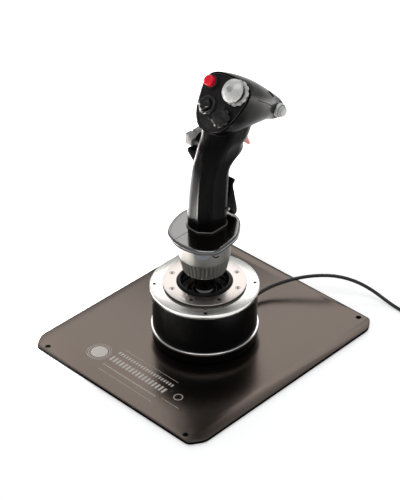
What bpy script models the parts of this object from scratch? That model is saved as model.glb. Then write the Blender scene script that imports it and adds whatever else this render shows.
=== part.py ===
"""Flight joystick: metal grip on a sprung two-axis gimbal, round base, flat base plate and USB cable.

Frame: metres, +Z up, the pilot sits on the -Y side, +X is the pilot's right.
The origin is on the table under the middle of the base plate.
"""
import math

import bmesh
import bpy
from mathutils import Matrix, Vector

GAP = 0.0003            # left between pieces that touch
MERGE = 0.00005
ROUND = 40              # sides of the large turned pieces
SMALL = 16              # sides of the small turned pieces
SMOOTH = math.radians(32)

# Base plate and feet
PLATE_X = 0.2484
PLATE_Y = 0.285
PLATE_BOTTOM = 0.002
PLATE_TOP = 0.005
CHAMFER_X = 0.010
CHAMFER_Y = 0.0155
CHAMFER_ROUND = 0.005
HOLE_X = 0.1037
HOLE_Y = 0.1351
HOLE_R = 0.00315
FOOT_X = 0.088
FOOT_Y = 0.112
FOOT_R = 0.010

# Round base, from the plate upwards
PLINTH_R = 0.057
PLINTH_TOP = 0.0168
BAND_R = 0.0588
BAND_TOP = 0.0199
SHELL_R = 0.0565
SHELL_WALL = 0.0035
SHELL_TOP = 0.0647
TOP_RING_R = 0.0585
TOP_RING_BOTTOM = 0.0650
TOP_RING_TOP = 0.0700
COVER_R = 0.0448
COVER_TOP = 0.0738
LIP_R = 0.0293
LIP_INNER_R = 0.0252
LIP_BOTTOM = 0.0690
LIP_TOP = 0.0762
COVER_SCREWS = 8
COVER_SCREW_R = 0.0023
COVER_SCREW_CIRCLE = 0.0375
RING_HOLES = 4
RING_HOLE_R = 0.0012
RING_HOLE_DEPTH = 0.0018
RING_HOLE_CIRCLE = 0.0535
SCREW_HEAD = 0.0015
SCREW_ROOM = 0.0003

# Gimbal
PIVOT_Z = 0.0565
FRAME_R = 0.040
FRAME_INNER_R = 0.0288
FRAME_BOTTOM = 0.0475
GIMBAL_R = 0.0265
GIMBAL_INNER_R = 0.0195
GIMBAL_HALF = 0.0045
PIN_R = 0.0025
HUB_R = 0.0165
NECK_R = 0.0115
HUB_FLANGE_BOTTOM = 0.0890
HUB_FLANGE_TOP = 0.0925
SPRING_R = 0.0165
SPRING_WIRE_R = 0.0012
SPRING_TURNS = 3.5
SPRING_PLATE_R = 0.0185
SPRING_PLATE_BOTTOM = 0.0360
SPRING_PLATE_TOP = 0.0448
BOARD_R = 0.0125
MAGNET_R = 0.003

# Collar, socket and hand rest
SOCKET_R = 0.0205
COLLAR_R = 0.0275
COLLAR_FOOT_R = 0.0232
COLLAR_BORE_R = 0.0212
COLLAR_BOTTOM = 0.0908
COLLAR_SHOULDER = 0.1090
COLLAR_TOP = 0.1290
REST_BOTTOM = 0.1330
REST_TOP = 0.1390
REST_SLIT_X = -0.0095
REST_OUTLINE = [
    (0.0368, -0.0060),
    (0.0335, 0.0135),
    (0.0255, 0.0268),
    (0.0130, 0.0402),
    (-0.0050, 0.0452),
    (-0.0230, 0.0405),
    (-0.0370, 0.0265),
    (-0.0418, 0.0090),
    (-0.0380, -0.0085),
    (-0.0300, -0.0240),
    (-0.0190, -0.0335),
    (0.0000, -0.0378),
    (0.0200, -0.0348),
    (0.0330, -0.0260),
    (0.0372, -0.0170),
]

# Grip: handle sections as height, back y, front y, centre x, half width, corner power
WALL = 0.0024
HANDLE = [
    (0.1393, -0.0098, 0.0287, -0.0053, 0.0170, 3.0),
    (0.1550, -0.0098, 0.0297, -0.0053, 0.0170, 3.0),
    (0.1750, -0.0092, 0.0307, -0.0050, 0.0168, 3.0),
    (0.1920, -0.0078, 0.0315, -0.0046, 0.0166, 3.0),
    (0.2050, -0.0060, 0.0330, -0.0040, 0.0166, 2.9),
    (0.2130, -0.0042, 0.0410, -0.0035, 0.0168, 2.8),
    (0.2200, -0.0022, 0.0520, -0.0028, 0.0170, 2.8),
    (0.2300, 0.0012, 0.0505, -0.0015, 0.0178, 2.8),
    (0.2400, 0.0050, 0.0565, 0.0, 0.0190, 2.8),
    (0.2540, 0.0095, 0.0600, 0.0, 0.0205, 2.6),
    (0.2620, 0.0140, 0.0560, 0.0, 0.0190, 2.4),
]
# Head sections as top (y, z), bottom (y, z), half width, corner power, widening towards the top
HEAD = [
    ((0.0420, 0.3030), (0.0030, 0.2550), 0.0285, 3.0, 0.25),
    ((0.0535, 0.2980), (0.0220, 0.2460), 0.0275, 2.6, 0.18),
    ((0.0680, 0.2887), (0.0450, 0.2430), 0.0250, 2.3, 0.10),
    ((0.0840, 0.2755), (0.0680, 0.2395), 0.0200, 2.1, 0.05),
    ((0.0985, 0.2625), (0.0850, 0.2360), 0.0145, 2.0, 0.0),
    ((0.1105, 0.2510), (0.1000, 0.2300), 0.0110, 2.0, 0.0),
    ((0.1148, 0.2440), (0.1080, 0.2315), 0.0085, 2.0, 0.0),
    ((0.1165, 0.2395), (0.1135, 0.2345), 0.0045, 2.0, 0.0),
]
GRIP_POINTS = 26

# Face of the head: a local frame with x to the pilot's right, y up the face, z out of it
FACE_TOP = Vector((0.0, *HEAD[0][0]))
FACE_BOTTOM = Vector((0.0, *HEAD[0][1]))
FACE_CENTRE = (FACE_TOP + FACE_BOTTOM) / 2
FACE_UP = (FACE_TOP - FACE_BOTTOM).normalized()
FACE_OUT = Vector((1.0, 0.0, 0.0)).cross(FACE_UP)
FACE_PLATE_T = 0.0020
RED_AT = (-0.0200, 0.0169)
TRIM_AT = (0.0150, 0.0171)
LEFT_AT = (-0.0130, -0.0059)
LOWER_AT = (0.0120, -0.0116)

# Nose of the head, with a button that faces the pilot's right
NOSE_AXIS = Vector((0.0, 0.857, -0.515)).normalized()
NOSE_AT = Vector((0.0095, 0.0975, 0.2463))
NOSE_OUT = Vector((1.0, 0.0, 0.0))

# Side hat, which points to the pilot's left
SIDE_HAT_Y = 0.0222
SIDE_HAT_Z = 0.2275

# Trigger and paddle
TRIGGER_PIVOT = (0.0500, 0.2405)
TRIGGER_WIDTH = 0.009
PADDLE_PIVOT = (0.0240, 0.1585)
PADDLE_WIDTH = 0.012
HINGE_PIN_R = 0.0015
HINGE_HOLE_R = 0.0018

# Cable
CABLE_D = 0.004
GLAND_Z = 0.0110
GLAND_Y = 0.0573
GLAND_LENGTH = 0.0205
COIL_CENTRE = (0.1580, 0.2130)
COIL_MIDDLE_R = 0.0224
COIL_HALF_WIDTH = 0.0136
COIL_HEIGHT = 0.0084
PLUG_BOOT_R = 0.0034
PLUG_Z = 0.0046
PLUG_BODY = (0.0080, 0.0120, 0.0330, 0.0040)       # half width, start, end, half height
PLUG_TONGUE = (0.0060, 0.0325, 0.0450, 0.0023)
PLUG_FROM_COIL = 0.0205
CABLE_ROUTE = [
    (0.0000, 0.0781, 0.0110),
    (0.0004, 0.0860, 0.0114),
    (0.0030, 0.1000, 0.0135),
    (0.0095, 0.1140, 0.0162),
    (0.0175, 0.1270, 0.0186),
    (0.0268, 0.1380, 0.0206),
    (0.0370, 0.1480, 0.0218),
    (0.0485, 0.1580, 0.0216),
    (0.0610, 0.1665, 0.0196),
    (0.0745, 0.1735, 0.0157),
    (0.0880, 0.1785, 0.0103),
    (0.1000, 0.1808, 0.0057),
    (0.1110, 0.1812, 0.0031),
    (0.1225, 0.1808, 0.0022),
    (0.1350, 0.1801, 0.0021),
]

FINISHES = {}


def clear_scene():
    for piece in list(bpy.data.objects):
        bpy.data.objects.remove(piece)


def new_collection(name):
    group = bpy.data.collections.new(name)
    bpy.context.scene.collection.children.link(group)
    return group


def finish(colour, roughness, metallic):
    """One finish, as a function that gives each piece a material of its own."""
    def make(name):
        material = bpy.data.materials.new(name)
        material.use_nodes = True
        shader = material.node_tree.nodes["Principled BSDF"]
        shader.inputs["Base Color"].default_value = (*colour, 1.0)
        shader.inputs["Roughness"].default_value = roughness
        shader.inputs["Metallic"].default_value = metallic
        material.diffuse_color = (*colour, 1.0)
        return material
    return make


def set_finishes():
    FINISHES.update(
        plate=finish((0.050, 0.047, 0.045), 0.42, 0.0),
        black_metal=finish((0.012, 0.012, 0.013), 0.32, 0.0),
        bright=finish((0.80, 0.79, 0.76), 0.28, 1.0),
        satin=finish((0.46, 0.47, 0.47), 0.42, 1.0),
        steel=finish((0.55, 0.55, 0.55), 0.35, 1.0),
        rubber=finish((0.020, 0.020, 0.020), 0.75, 0.0),
        red=finish((0.75, 0.02, 0.04), 0.22, 0.0),
        salmon=finish((0.80, 0.30, 0.26), 0.40, 0.0),
        pale=finish((0.62, 0.64, 0.61), 0.34, 0.0),
        grey=finish((0.26, 0.27, 0.26), 0.50, 0.0),
        black_plastic=finish((0.018, 0.018, 0.019), 0.45, 0.0),
        board=finish((0.02, 0.16, 0.07), 0.50, 0.0),
    )


def add(name, data, look, group="parts"):
    piece = bpy.data.objects.new(name, data)
    GROUPS[group].objects.link(piece)
    if group == "cutters":
        piece.hide_render = True
        piece.display_type = "WIRE"
    else:
        piece.data.materials.clear()
        piece.data.materials.append(FINISHES[look](name))
    return piece


def bake(piece):
    """Turn a piece's modifiers, or a curve, into its mesh."""
    bpy.context.view_layer.update()
    depsgraph = bpy.context.evaluated_depsgraph_get()
    mesh = bpy.data.meshes.new_from_object(piece.evaluated_get(depsgraph))
    weld = bmesh.new()
    weld.from_mesh(mesh)
    bmesh.ops.remove_doubles(weld, verts=weld.verts, dist=MERGE / 10)
    weld.to_mesh(mesh)
    weld.free()
    mesh.shade_smooth()
    mesh.set_sharp_from_angle(angle=SMOOTH)
    if piece.type == "MESH":
        piece.modifiers.clear()
        piece.data = mesh
        return piece
    name = piece.name
    group = piece.users_collection[0]
    place = piece.matrix_world.copy()
    bpy.data.objects.remove(piece)
    solid = bpy.data.objects.new(name, mesh)
    group.objects.link(solid)
    solid.matrix_world = place
    if group == GROUPS["cutters"]:
        solid.hide_render = True
        solid.display_type = "WIRE"
    return solid


def cut(piece, other, operation="DIFFERENCE"):
    boolean = piece.modifiers.new(other.name, "BOOLEAN")
    boolean.object = other
    boolean.operation = operation
    boolean.solver = "EXACT"


def turned(name, profile, look, steps=ROUND, ring=True, group="parts"):
    """Turn (radius, height) points about Z, down the outer side; a ring's profile closes on itself."""
    points = [(radius, 0.0, height) for radius, height in profile]
    edges = [(i, i + 1) for i in range(len(points) - 1)]
    if ring:
        edges.append((len(points) - 1, 0))
    mesh = bpy.data.meshes.new(name)
    mesh.from_pydata(points, edges, [])
    piece = add(name, mesh, look, group)
    screw = piece.modifiers.new("Turn", "SCREW")
    screw.axis = "Z"
    screw.angle = math.tau
    screw.steps = steps
    screw.render_steps = steps
    screw.use_merge_vertices = True
    screw.merge_threshold = MERGE
    return bake(piece)


def tube(name, outer, inner, bottom, top, look, steps=ROUND, edge=0.0):
    """A plain ring, with its outer and inner top edges bevelled."""
    profile = [(inner + edge, top), (outer - edge, top)]
    if edge:
        profile += [(outer, top - edge)]
    profile += [(outer, bottom), (inner, bottom)]
    if edge:
        profile += [(inner, top - edge)]
    return turned(name, profile, look, steps)


def disc(name, radius, bottom, top, look, steps=ROUND, edge=0.0):
    profile = [(0.0, top), (radius - edge, top)]
    if edge:
        profile += [(radius, top - edge)]
    profile += [(radius, bottom), (0.0, bottom)]
    return turned(name, profile, look, steps, ring=False)


def rod(name, start, end, radius, look, sides=SMALL, group="parts"):
    """A straight round bar from start to end."""
    start = Vector(start)
    end = Vector(end)
    mesh = bpy.data.meshes.new(name)
    shape = bmesh.new()
    bmesh.ops.create_cone(
        shape, cap_ends=True, segments=sides, radius1=radius, radius2=radius, depth=(end - start).length
    )
    shape.to_mesh(mesh)
    shape.free()
    mesh.shade_smooth()
    mesh.set_sharp_from_angle(angle=SMOOTH)
    piece = add(name, mesh, look, group)
    piece.rotation_mode = "QUATERNION"
    piece.rotation_quaternion = (end - start).to_track_quat("Z", "Y")
    piece.location = (start + end) / 2
    return piece


def box(name, low, high, look, bevel=0.0, group="parts"):
    low = Vector(low)
    high = Vector(high)
    mesh = bpy.data.meshes.new(name)
    shape = bmesh.new()
    bmesh.ops.create_cube(shape, size=1.0)
    bmesh.ops.scale(shape, vec=high - low, verts=shape.verts)
    shape.to_mesh(mesh)
    shape.free()
    piece = add(name, mesh, look, group)
    piece.location = (low + high) / 2
    if bevel:
        rounding = piece.modifiers.new("Edges", "BEVEL")
        rounding.width = bevel
        rounding.segments = 2
    return piece


def outline_plate(name, outline, thickness, look, place=Matrix(), group="parts"):
    """A flat closed outline in the local XY plane, extruded both ways along local Z."""
    curve = bpy.data.curves.new(name, "CURVE")
    curve.dimensions = "2D"
    curve.fill_mode = "BOTH"
    curve.extrude = thickness / 2
    spline = curve.splines.new("POLY")
    spline.points.add(len(outline) - 1)
    for point, (x, y) in zip(spline.points, outline):
        point.co = (x, y, 0.0, 1.0)
    spline.use_cyclic_u = True
    piece = bpy.data.objects.new(name, curve)
    GROUPS[group].objects.link(piece)
    piece.matrix_world = place
    solid = bake(piece)
    if group == "parts":
        solid.data.materials.clear()
        solid.data.materials.append(FINISHES[look](name))
    return solid


def rounded(corners, radius, steps=4):
    """Round every corner of an outline with a short arc."""
    points = []
    for i, corner in enumerate(corners):
        here = Vector(corner)
        before = (Vector(corners[i - 1]) - here).normalized()
        after = (Vector(corners[(i + 1) % len(corners)]) - here).normalized()
        for k in range(steps + 1):
            t = k / steps
            points.append(tuple(here + radius * ((1 - t) ** 2 * before + t ** 2 * after)))
    return points


def superellipse(half_x, half_y, power, count, widening=0.0):
    """Points round a rounded rectangle; widening makes its +Y end wider than its -Y end."""
    points = []
    for i in range(count):
        turn = math.tau * i / count
        x = math.copysign(abs(math.cos(turn)) ** (2 / power), math.cos(turn))
        y = math.copysign(abs(math.sin(turn)) ** (2 / power), math.sin(turn))
        points.append((half_x * x * (1 + widening * y), half_y * y))
    return points


def loft(name, rings, look="black_metal", group="cutters"):
    """Join rings of points, all of one length, into a closed solid."""
    mesh = bpy.data.meshes.new(name)
    shape = bmesh.new()
    levels = [[shape.verts.new(point) for point in ring] for ring in rings]
    for lower, upper in zip(levels, levels[1:]):
        for i in range(len(lower)):
            k = (i + 1) % len(lower)
            shape.faces.new((lower[i], lower[k], upper[k], upper[i]))
    shape.faces.new(levels[0])
    shape.faces.new(levels[-1])
    bmesh.ops.recalc_face_normals(shape, faces=shape.faces)
    shape.to_mesh(mesh)
    shape.free()
    mesh.shade_smooth()
    mesh.set_sharp_from_angle(angle=SMOOTH)
    return add(name, mesh, look, group)


def polar(radius, degrees, height=0.0):
    turn = math.radians(degrees)
    return Vector((radius * math.cos(turn), radius * math.sin(turn), height))


def face_point(at, out=0.0):
    return FACE_CENTRE + Vector((at[0], 0.0, 0.0)) + at[1] * FACE_UP + out * FACE_OUT


def frame_at(origin, x_axis, z_axis):
    """A placement with its local X and Z along the given directions."""
    z_axis = z_axis.normalized()
    y_axis = z_axis.cross(x_axis).normalized()
    place = Matrix((x_axis, y_axis, z_axis)).transposed().to_4x4()
    place.translation = origin
    return place


def face_frame(at, out=0.0):
    return frame_at(face_point(at, out), Vector((1.0, 0.0, 0.0)), FACE_OUT)


def nose_frame(out=0.0):
    return frame_at(NOSE_AT + out * NOSE_OUT, Vector((0.0, 1.0, 0.0)), NOSE_OUT)


def side_frame(x):
    return frame_at(Vector((x, SIDE_HAT_Y, SIDE_HAT_Z)), Vector((0.0, -1.0, 0.0)), Vector((-1.0, 0.0, 0.0)))


def placed(piece, place):
    piece.matrix_world = place @ piece.matrix_basis
    return piece


def base_plate():
    half_x = PLATE_X / 2
    half_y = PLATE_Y / 2
    corners = []
    for sx, sy in ((1, 1), (-1, 1), (-1, -1), (1, -1)):
        pair = [(sx * half_x, sy * (half_y - CHAMFER_Y)), (sx * (half_x - CHAMFER_X), sy * half_y)]
        corners += pair if sx == sy else pair[::-1]
    place = Matrix.Translation((0.0, 0.0, (PLATE_TOP + PLATE_BOTTOM) / 2))
    outline = rounded(corners, CHAMFER_ROUND)
    plate = outline_plate("base_plate", outline, PLATE_TOP - PLATE_BOTTOM, "plate", place)
    for sx in (-1, 1):
        for sy in (-1, 1):
            x = sx * HOLE_X
            y = sy * HOLE_Y
            hole = rod(f"cut_plate_{sx}_{sy}", (x, y, 0.0), (x, y, 0.01), HOLE_R, None, group="cutters")
            cut(plate, hole)
            foot = disc(f"foot_{'left' if sx < 0 else 'right'}_{'rear' if sy < 0 else 'front'}",
                        FOOT_R, 0.0, PLATE_BOTTOM - GAP, "rubber", 24)
            foot.location = (sx * FOOT_X, sy * FOOT_Y, 0.0)


def screw_pocket(name, holder, spot, radius, floor, top):
    low = spot + Vector((0.0, 0.0, floor - GAP))
    high = spot + Vector((0.0, 0.0, top + 0.001))
    cut(holder, rod(f"cut_{name}", low, high, radius + GAP, None, 10, "cutters"))


def cover_screws(cover):
    """Cap screws sunk in the cover ring, each with a socket in its head."""
    radius = COVER_SCREW_R
    floor = COVER_TOP - SCREW_HEAD - SCREW_ROOM
    socket = floor + SCREW_HEAD * 0.4
    for i in range(COVER_SCREWS):
        name = f"cover_screw_{i + 1}"
        spot = polar(COVER_SCREW_CIRCLE, 22.5 + 360 * i / COVER_SCREWS)
        screw_pocket(name, cover, spot, radius, floor, COVER_TOP)
        profile = [(0.0, socket), (radius * 0.5, socket), (radius * 0.5, floor + SCREW_HEAD),
                   (radius, floor + SCREW_HEAD), (radius, floor), (0.0, floor)]
        head = turned(name, profile, "steel", 12, ring=False)
        head.location = spot


def round_base():
    disc("base_plinth", PLINTH_R, PLATE_TOP + GAP, PLINTH_TOP, "black_metal")
    middle = (PLINTH_TOP + BAND_TOP + GAP) / 2
    turned("trim_band",
           [(SHELL_R - 0.004, BAND_TOP), (BAND_R - 0.0008, BAND_TOP), (BAND_R, middle),
            (BAND_R - 0.0008, PLINTH_TOP + GAP), (SHELL_R - 0.004, PLINTH_TOP + GAP)], "bright")
    tube("housing_shell", SHELL_R, SHELL_R - SHELL_WALL, BAND_TOP + GAP, SHELL_TOP, "black_metal")
    ring = tube("top_ring", TOP_RING_R, LIP_R + 0.0012, TOP_RING_BOTTOM, TOP_RING_TOP, "bright", edge=0.0006)
    for i in range(RING_HOLES):
        spot = polar(RING_HOLE_CIRCLE, 45 + 360 * i / RING_HOLES)
        floor = TOP_RING_TOP - RING_HOLE_DEPTH
        screw_pocket(f"ring_hole_{i + 1}", ring, spot, RING_HOLE_R, floor, TOP_RING_TOP)
    cover_inner = LIP_R + 0.0005
    cover_bottom = TOP_RING_TOP + GAP
    cover = tube("gimbal_cover", COVER_R, cover_inner, cover_bottom, COVER_TOP, "bright", edge=0.0005)
    cover_screws(cover)
    turned("dust_lip",
           [(LIP_INNER_R + 0.0013, LIP_TOP), (LIP_R - 0.0013, LIP_TOP), (LIP_R, LIP_TOP - 0.0013),
            (LIP_R, LIP_BOTTOM), (LIP_INNER_R, LIP_BOTTOM), (LIP_INNER_R, LIP_TOP - 0.0013)], "rubber")


def gimbal():
    frame = tube("gimbal_frame", FRAME_R, FRAME_INNER_R, FRAME_BOTTOM, TOP_RING_BOTTOM - GAP, "satin")
    ring_bottom = PIVOT_Z - GIMBAL_HALF
    ring = tube("gimbal_ring", GIMBAL_R, GIMBAL_INNER_R, ring_bottom, PIVOT_Z + GIMBAL_HALF, "steel")
    for side in (-1, 1):
        inner = (side * (GIMBAL_R - 0.003), 0.0, PIVOT_Z)
        outer = (side * (FRAME_R - 0.003), 0.0, PIVOT_Z)
        beyond = (side * (FRAME_R + 0.005), 0.0, PIVOT_Z)
        cut(ring, rod(f"pitch_pin_{side}", inner, outer, PIN_R, None, group="cutters"), "UNION")
        cut(frame, rod(f"cut_frame_{side}", inner, beyond, PIN_R + GAP, None, group="cutters"))
    front = (0.0, GIMBAL_R + 0.004, PIVOT_Z)
    back = (0.0, -GIMBAL_R - 0.004, PIVOT_Z)
    cut(ring, rod("cut_ring_roll", back, front, PIN_R + GAP, None, group="cutters"))

    steps = 8
    lowest = -math.acos(MAGNET_R / HUB_R * 1.2)
    profile = [(0.0, HUB_FLANGE_TOP), (SOCKET_R, HUB_FLANGE_TOP), (SOCKET_R, HUB_FLANGE_BOTTOM),
               (NECK_R, HUB_FLANGE_BOTTOM - 0.004)]
    highest = math.acos(NECK_R / HUB_R)
    for i in range(steps + 1):
        turn = highest + (lowest - highest) * i / steps
        profile.append((HUB_R * math.cos(turn), PIVOT_Z + HUB_R * math.sin(turn)))
    magnet_bottom = SPRING_PLATE_BOTTOM - 0.0015
    profile += [(MAGNET_R, profile[-1][1]), (MAGNET_R, magnet_bottom), (0.0, magnet_bottom)]
    hub = turned("stick_hub", profile, "black_metal", 24, ring=False)
    pin_end = GIMBAL_R - 0.001
    pin = rod("roll_pin", (0.0, -pin_end, PIVOT_Z), (0.0, pin_end, PIVOT_Z), PIN_R, None, group="cutters")
    cut(hub, pin, "UNION")

    clear = HUB_R + GAP
    bore = 0.0106
    cup = [(0.0150, SPRING_PLATE_TOP), (SPRING_PLATE_R, SPRING_PLATE_TOP),
           (SPRING_PLATE_R, SPRING_PLATE_BOTTOM), (bore, SPRING_PLATE_BOTTOM),
           (bore, PIVOT_Z - math.sqrt(clear ** 2 - bore ** 2) - 0.0004)]
    turned("spring_plate", cup, "steel", 24)
    coil_spring()
    board = disc("sensor_board", BOARD_R, 0.0260, 0.0276, "board", 24)
    post = rod("board_post", (0.0, 0.0, PLINTH_TOP + GAP), (0.0, 0.0, 0.0265), 0.004, None, 12, "cutters")
    cut(board, post, "UNION")


def coil_spring():
    low = PLINTH_TOP + GAP + SPRING_WIRE_R + 0.0001
    high = SPRING_PLATE_BOTTOM - GAP - SPRING_WIRE_R - 0.0001
    per_turn = 12
    count = int(SPRING_TURNS * per_turn)
    points = []
    for i in range(count + 1):
        turn = math.tau * i / per_turn
        rise = low + (high - low) * i / count
        points.append((SPRING_R * math.cos(turn), SPRING_R * math.sin(turn), rise))
    wire("main_spring", points, SPRING_WIRE_R, "steel", 1)


def wire(name, points, radius, look, detail=2):
    """A round wire or cable through a list of points."""
    curve = bpy.data.curves.new(name, "CURVE")
    curve.dimensions = "3D"
    curve.bevel_depth = radius
    curve.bevel_resolution = detail
    curve.use_fill_caps = True
    spline = curve.splines.new("POLY")
    spline.points.add(len(points) - 1)
    for point, place in zip(spline.points, points):
        point.co = (*place, 1.0)
    return add(name, curve, look)


def collar_and_rest():
    turned("locking_collar",
           [(COLLAR_BORE_R, COLLAR_TOP), (COLLAR_R - 0.001, COLLAR_TOP), (COLLAR_R, COLLAR_TOP - 0.001),
            (COLLAR_R, COLLAR_SHOULDER), (COLLAR_R - 0.0008, COLLAR_SHOULDER - 0.001),
            (COLLAR_FOOT_R, COLLAR_BOTTOM), (COLLAR_BORE_R, COLLAR_BOTTOM)], "satin")
    tube("grip_socket", SOCKET_R, 0.012, HUB_FLANGE_TOP + GAP, REST_BOTTOM - GAP, "black_metal", 24)
    disc("grip_plug", 0.010, HUB_FLANGE_TOP + 2 * GAP, 0.110, "black_plastic", 24)
    loop = [Vector((x, y, 0.0)) for x, y in REST_OUTLINE]
    shape = [tuple(point.xy) for point in smooth_route(loop, 3, True)[:-1]]
    middle = Matrix.Translation((0.0, 0.0, (REST_BOTTOM + REST_TOP) / 2))
    rest = outline_plate("hand_rest", shape, REST_TOP - REST_BOTTOM, "black_metal", middle)
    rounding = rest.modifiers.new("Edges", "BEVEL")
    rounding.width = 0.0018
    rounding.segments = 2
    rounding.limit_method = "ANGLE"
    rounding.angle_limit = math.radians(60)
    cut(rest, rod("cut_rest", (0, 0, 0.12), (0, 0, 0.15), 0.010, None, group="cutters"))
    cut(rest, box("cut_rest_slit", (REST_SLIT_X - 0.0003, -0.05, 0.12), (REST_SLIT_X + 0.0003, -0.002, 0.15),
                  None, group="cutters"))


def handle_rings(inset):
    rings = []
    for height, back, front, middle, half_width, power in HANDLE:
        half_depth = (front - back) / 2 - inset
        ring = superellipse(half_width - inset, half_depth, power, GRIP_POINTS)
        rings.append([(middle + x, (front + back) / 2 + y, height) for x, y in ring])
    return rings


def head_rings(inset):
    rings = []
    for top, bottom, half_width, power, widening in HEAD:
        up = Vector((0.0, top[0] - bottom[0], top[1] - bottom[1]))
        middle = Vector((0.0, (top[0] + bottom[0]) / 2, (top[1] + bottom[1]) / 2))
        ring = superellipse(half_width - inset, up.length / 2 - inset, power, GRIP_POINTS, widening)
        rings.append([middle + Vector((x, 0.0, 0.0)) + y * up.normalized() for x, y in ring])
    return rings


def grip_solid(name, inset):
    """Handle and head joined into one solid; a negative inset makes it larger."""
    handle = handle_rings(inset)
    head = head_rings(inset)
    if inset > 0:
        down = Vector((0.0, 0.0, -0.004))
        handle[0] = [Vector(point) + down for point in handle[0]]
        rim = head[0]
        head[0] = [point + 0.003 * FACE_OUT for point in rim]
        head.insert(1, [point - 0.003 * FACE_OUT for point in rim])
        head.pop()
        head[-1] = [point - inset * NOSE_AXIS for point in head[-1]]
    solid = loft(name, head)
    cut(solid, loft(f"{name}_handle", handle), "UNION")
    return bake(solid)


def side_hat_boss(name, radius, inner_x, outer_x, group):
    start = (inner_x, SIDE_HAT_Y, SIDE_HAT_Z)
    end = (outer_x, SIDE_HAT_Y, SIDE_HAT_Z)
    return rod(name, start, end, radius, "black_metal", 24, group)


def hinge_bore(name, pivot, half_length):
    """A cutter for a hinge pin's hole, across the grip at the given (y, z)."""
    start = (-half_length, *pivot)
    return rod(name, start, (half_length, *pivot), HINGE_HOLE_R, None, 12, "cutters")


def grip():
    outer = grip_solid("grip_outer", 0.0)
    inner = grip_solid("grip_inner", WALL)
    cutters = [
        inner,
        box("cut_trigger_slot", (-TRIGGER_WIDTH / 2 - 0.0008, 0.0440, 0.2143),
            (TRIGGER_WIDTH / 2 + 0.0008, 0.0695, 0.2450), None, group="cutters"),
        box("cut_paddle_slot", (-PADDLE_WIDTH / 2 - 0.0008, 0.016, 0.1490),
            (PADDLE_WIDTH / 2 + 0.0008, 0.045, 0.1745), None, group="cutters"),
        hinge_bore("cut_paddle_pin", PADDLE_PIVOT, 0.025),
        hinge_bore("cut_trigger_hole", TRIGGER_PIVOT, 0.03),
        rod("cut_nose", NOSE_AT - 0.0025 * NOSE_OUT, NOSE_AT + 0.02 * NOSE_OUT, 0.0078, None, 20, "cutters"),
        side_hat_boss("cut_side_stem", 0.0048, -0.008, -0.03, "cutters"),
    ]
    for side, name in ((-1, "grip_shell_left"), (1, "grip_shell_right")):
        half = add(name, outer.data.copy(), "black_metal")
        low_x = -0.1 if side > 0 else -GAP / 2
        high_x = GAP / 2 if side > 0 else 0.1
        other = box(f"cut_{name}", (low_x, -0.1, 0.1), (high_x, 0.2, 0.4), None, group="cutters")
        for cutter in (other, *cutters):
            cut(half, cutter)
    boss = side_hat_boss("side_hat_housing", 0.0100, -0.012, -0.0285, "parts")
    fairing = [(-0.0165, 0.2185), (-0.0335, 0.2185), (-0.0335, 0.2155), (-0.0225, 0.2040), (-0.0165, 0.2040)]
    upright = frame_at(Vector((0.0, 0.0205, 0.0)), Vector((1.0, 0.0, 0.0)), Vector((0.0, -1.0, 0.0)))
    cut(boss, outline_plate("cut_fairing", fairing, 0.0220, None, upright, "cutters"), "UNION")
    cut(boss, grip_solid("grip_grown", -GAP))
    cut(boss, side_hat_boss("cut_boss_bore", 0.0048, -0.0100, -0.0290, "cutters"))


def face_outline(inset):
    top, bottom, half_width, power, widening = HEAD[0]
    half_height = math.dist(top, bottom) / 2
    return superellipse(half_width - inset, half_height - inset, power, GRIP_POINTS, widening)


def face():
    place = face_frame((0.0, 0.0), -0.0004 - FACE_PLATE_T / 2)
    plate = outline_plate("face_plate", face_outline(WALL + 0.0005), FACE_PLATE_T, "black_metal", place)
    for name, at, radius in (("red", RED_AT, 0.0060), ("trim", TRIM_AT, 0.0072),
                             ("left", LEFT_AT, 0.0058), ("lower", LOWER_AT, 0.0058)):
        under = face_point(at, -0.01)
        cut(plate, rod(f"cut_face_{name}", under, face_point(at, 0.01), radius, None, 20, "cutters"))
    board = box("face_board", (-0.018, -0.016, -0.0100), (0.018, 0.016, -0.0084), "board")
    placed(board, face_frame((0.0, 0.0)))


def bezel(name, place, outer, inner, height, look):
    edge = 0.0005
    profile = [(inner, height), (outer - edge, height), (outer, height - edge), (outer, GAP), (inner, GAP)]
    return placed(turned(name, profile, look, 20), place)


def bezels():
    bezel("red_button_bezel", face_frame(RED_AT), 0.0072, 0.0060, 0.0030, "satin")
    bezel("trim_hat_bezel", face_frame(TRIM_AT), 0.0136, 0.0092, 0.0036, "pale")
    bezel("left_hat_bezel", face_frame(LEFT_AT), 0.0098, 0.0066, 0.0022, "satin")
    stepped = [(0.0054, 0.0090), (0.0062, 0.0090), (0.0062, 0.0074), (0.0070, 0.0074), (0.0075, 0.0069),
               (0.0075, 0.0), (0.0054, 0.0)]
    placed(turned("nose_bezel", stepped, "satin", 20), nose_frame())


def push_button(name, place, radius, bottom, top, look):
    edge = radius * 0.25
    cap = turned(name, [(0.0, top), (radius * 0.6, top - edge * 0.3), (radius - edge * 0.5, top - edge * 0.8),
                        (radius, top - edge * 2), (radius, bottom), (0.0, bottom)], look, 16, ring=False)
    return placed(cap, place)


def ball(name, place, radius, look):
    """The small pivot that lets a hat tip both ways."""
    count = 5
    profile = []
    for i in range(count + 1):
        turn = math.pi / 2 - math.pi * i / count
        profile.append((radius * max(math.cos(turn), 0.0), radius * math.sin(turn)))
    profile[0] = (0.0, radius)
    profile[-1] = (0.0, -radius)
    return placed(turned(name, profile, look, 12, ring=False), place)


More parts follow.
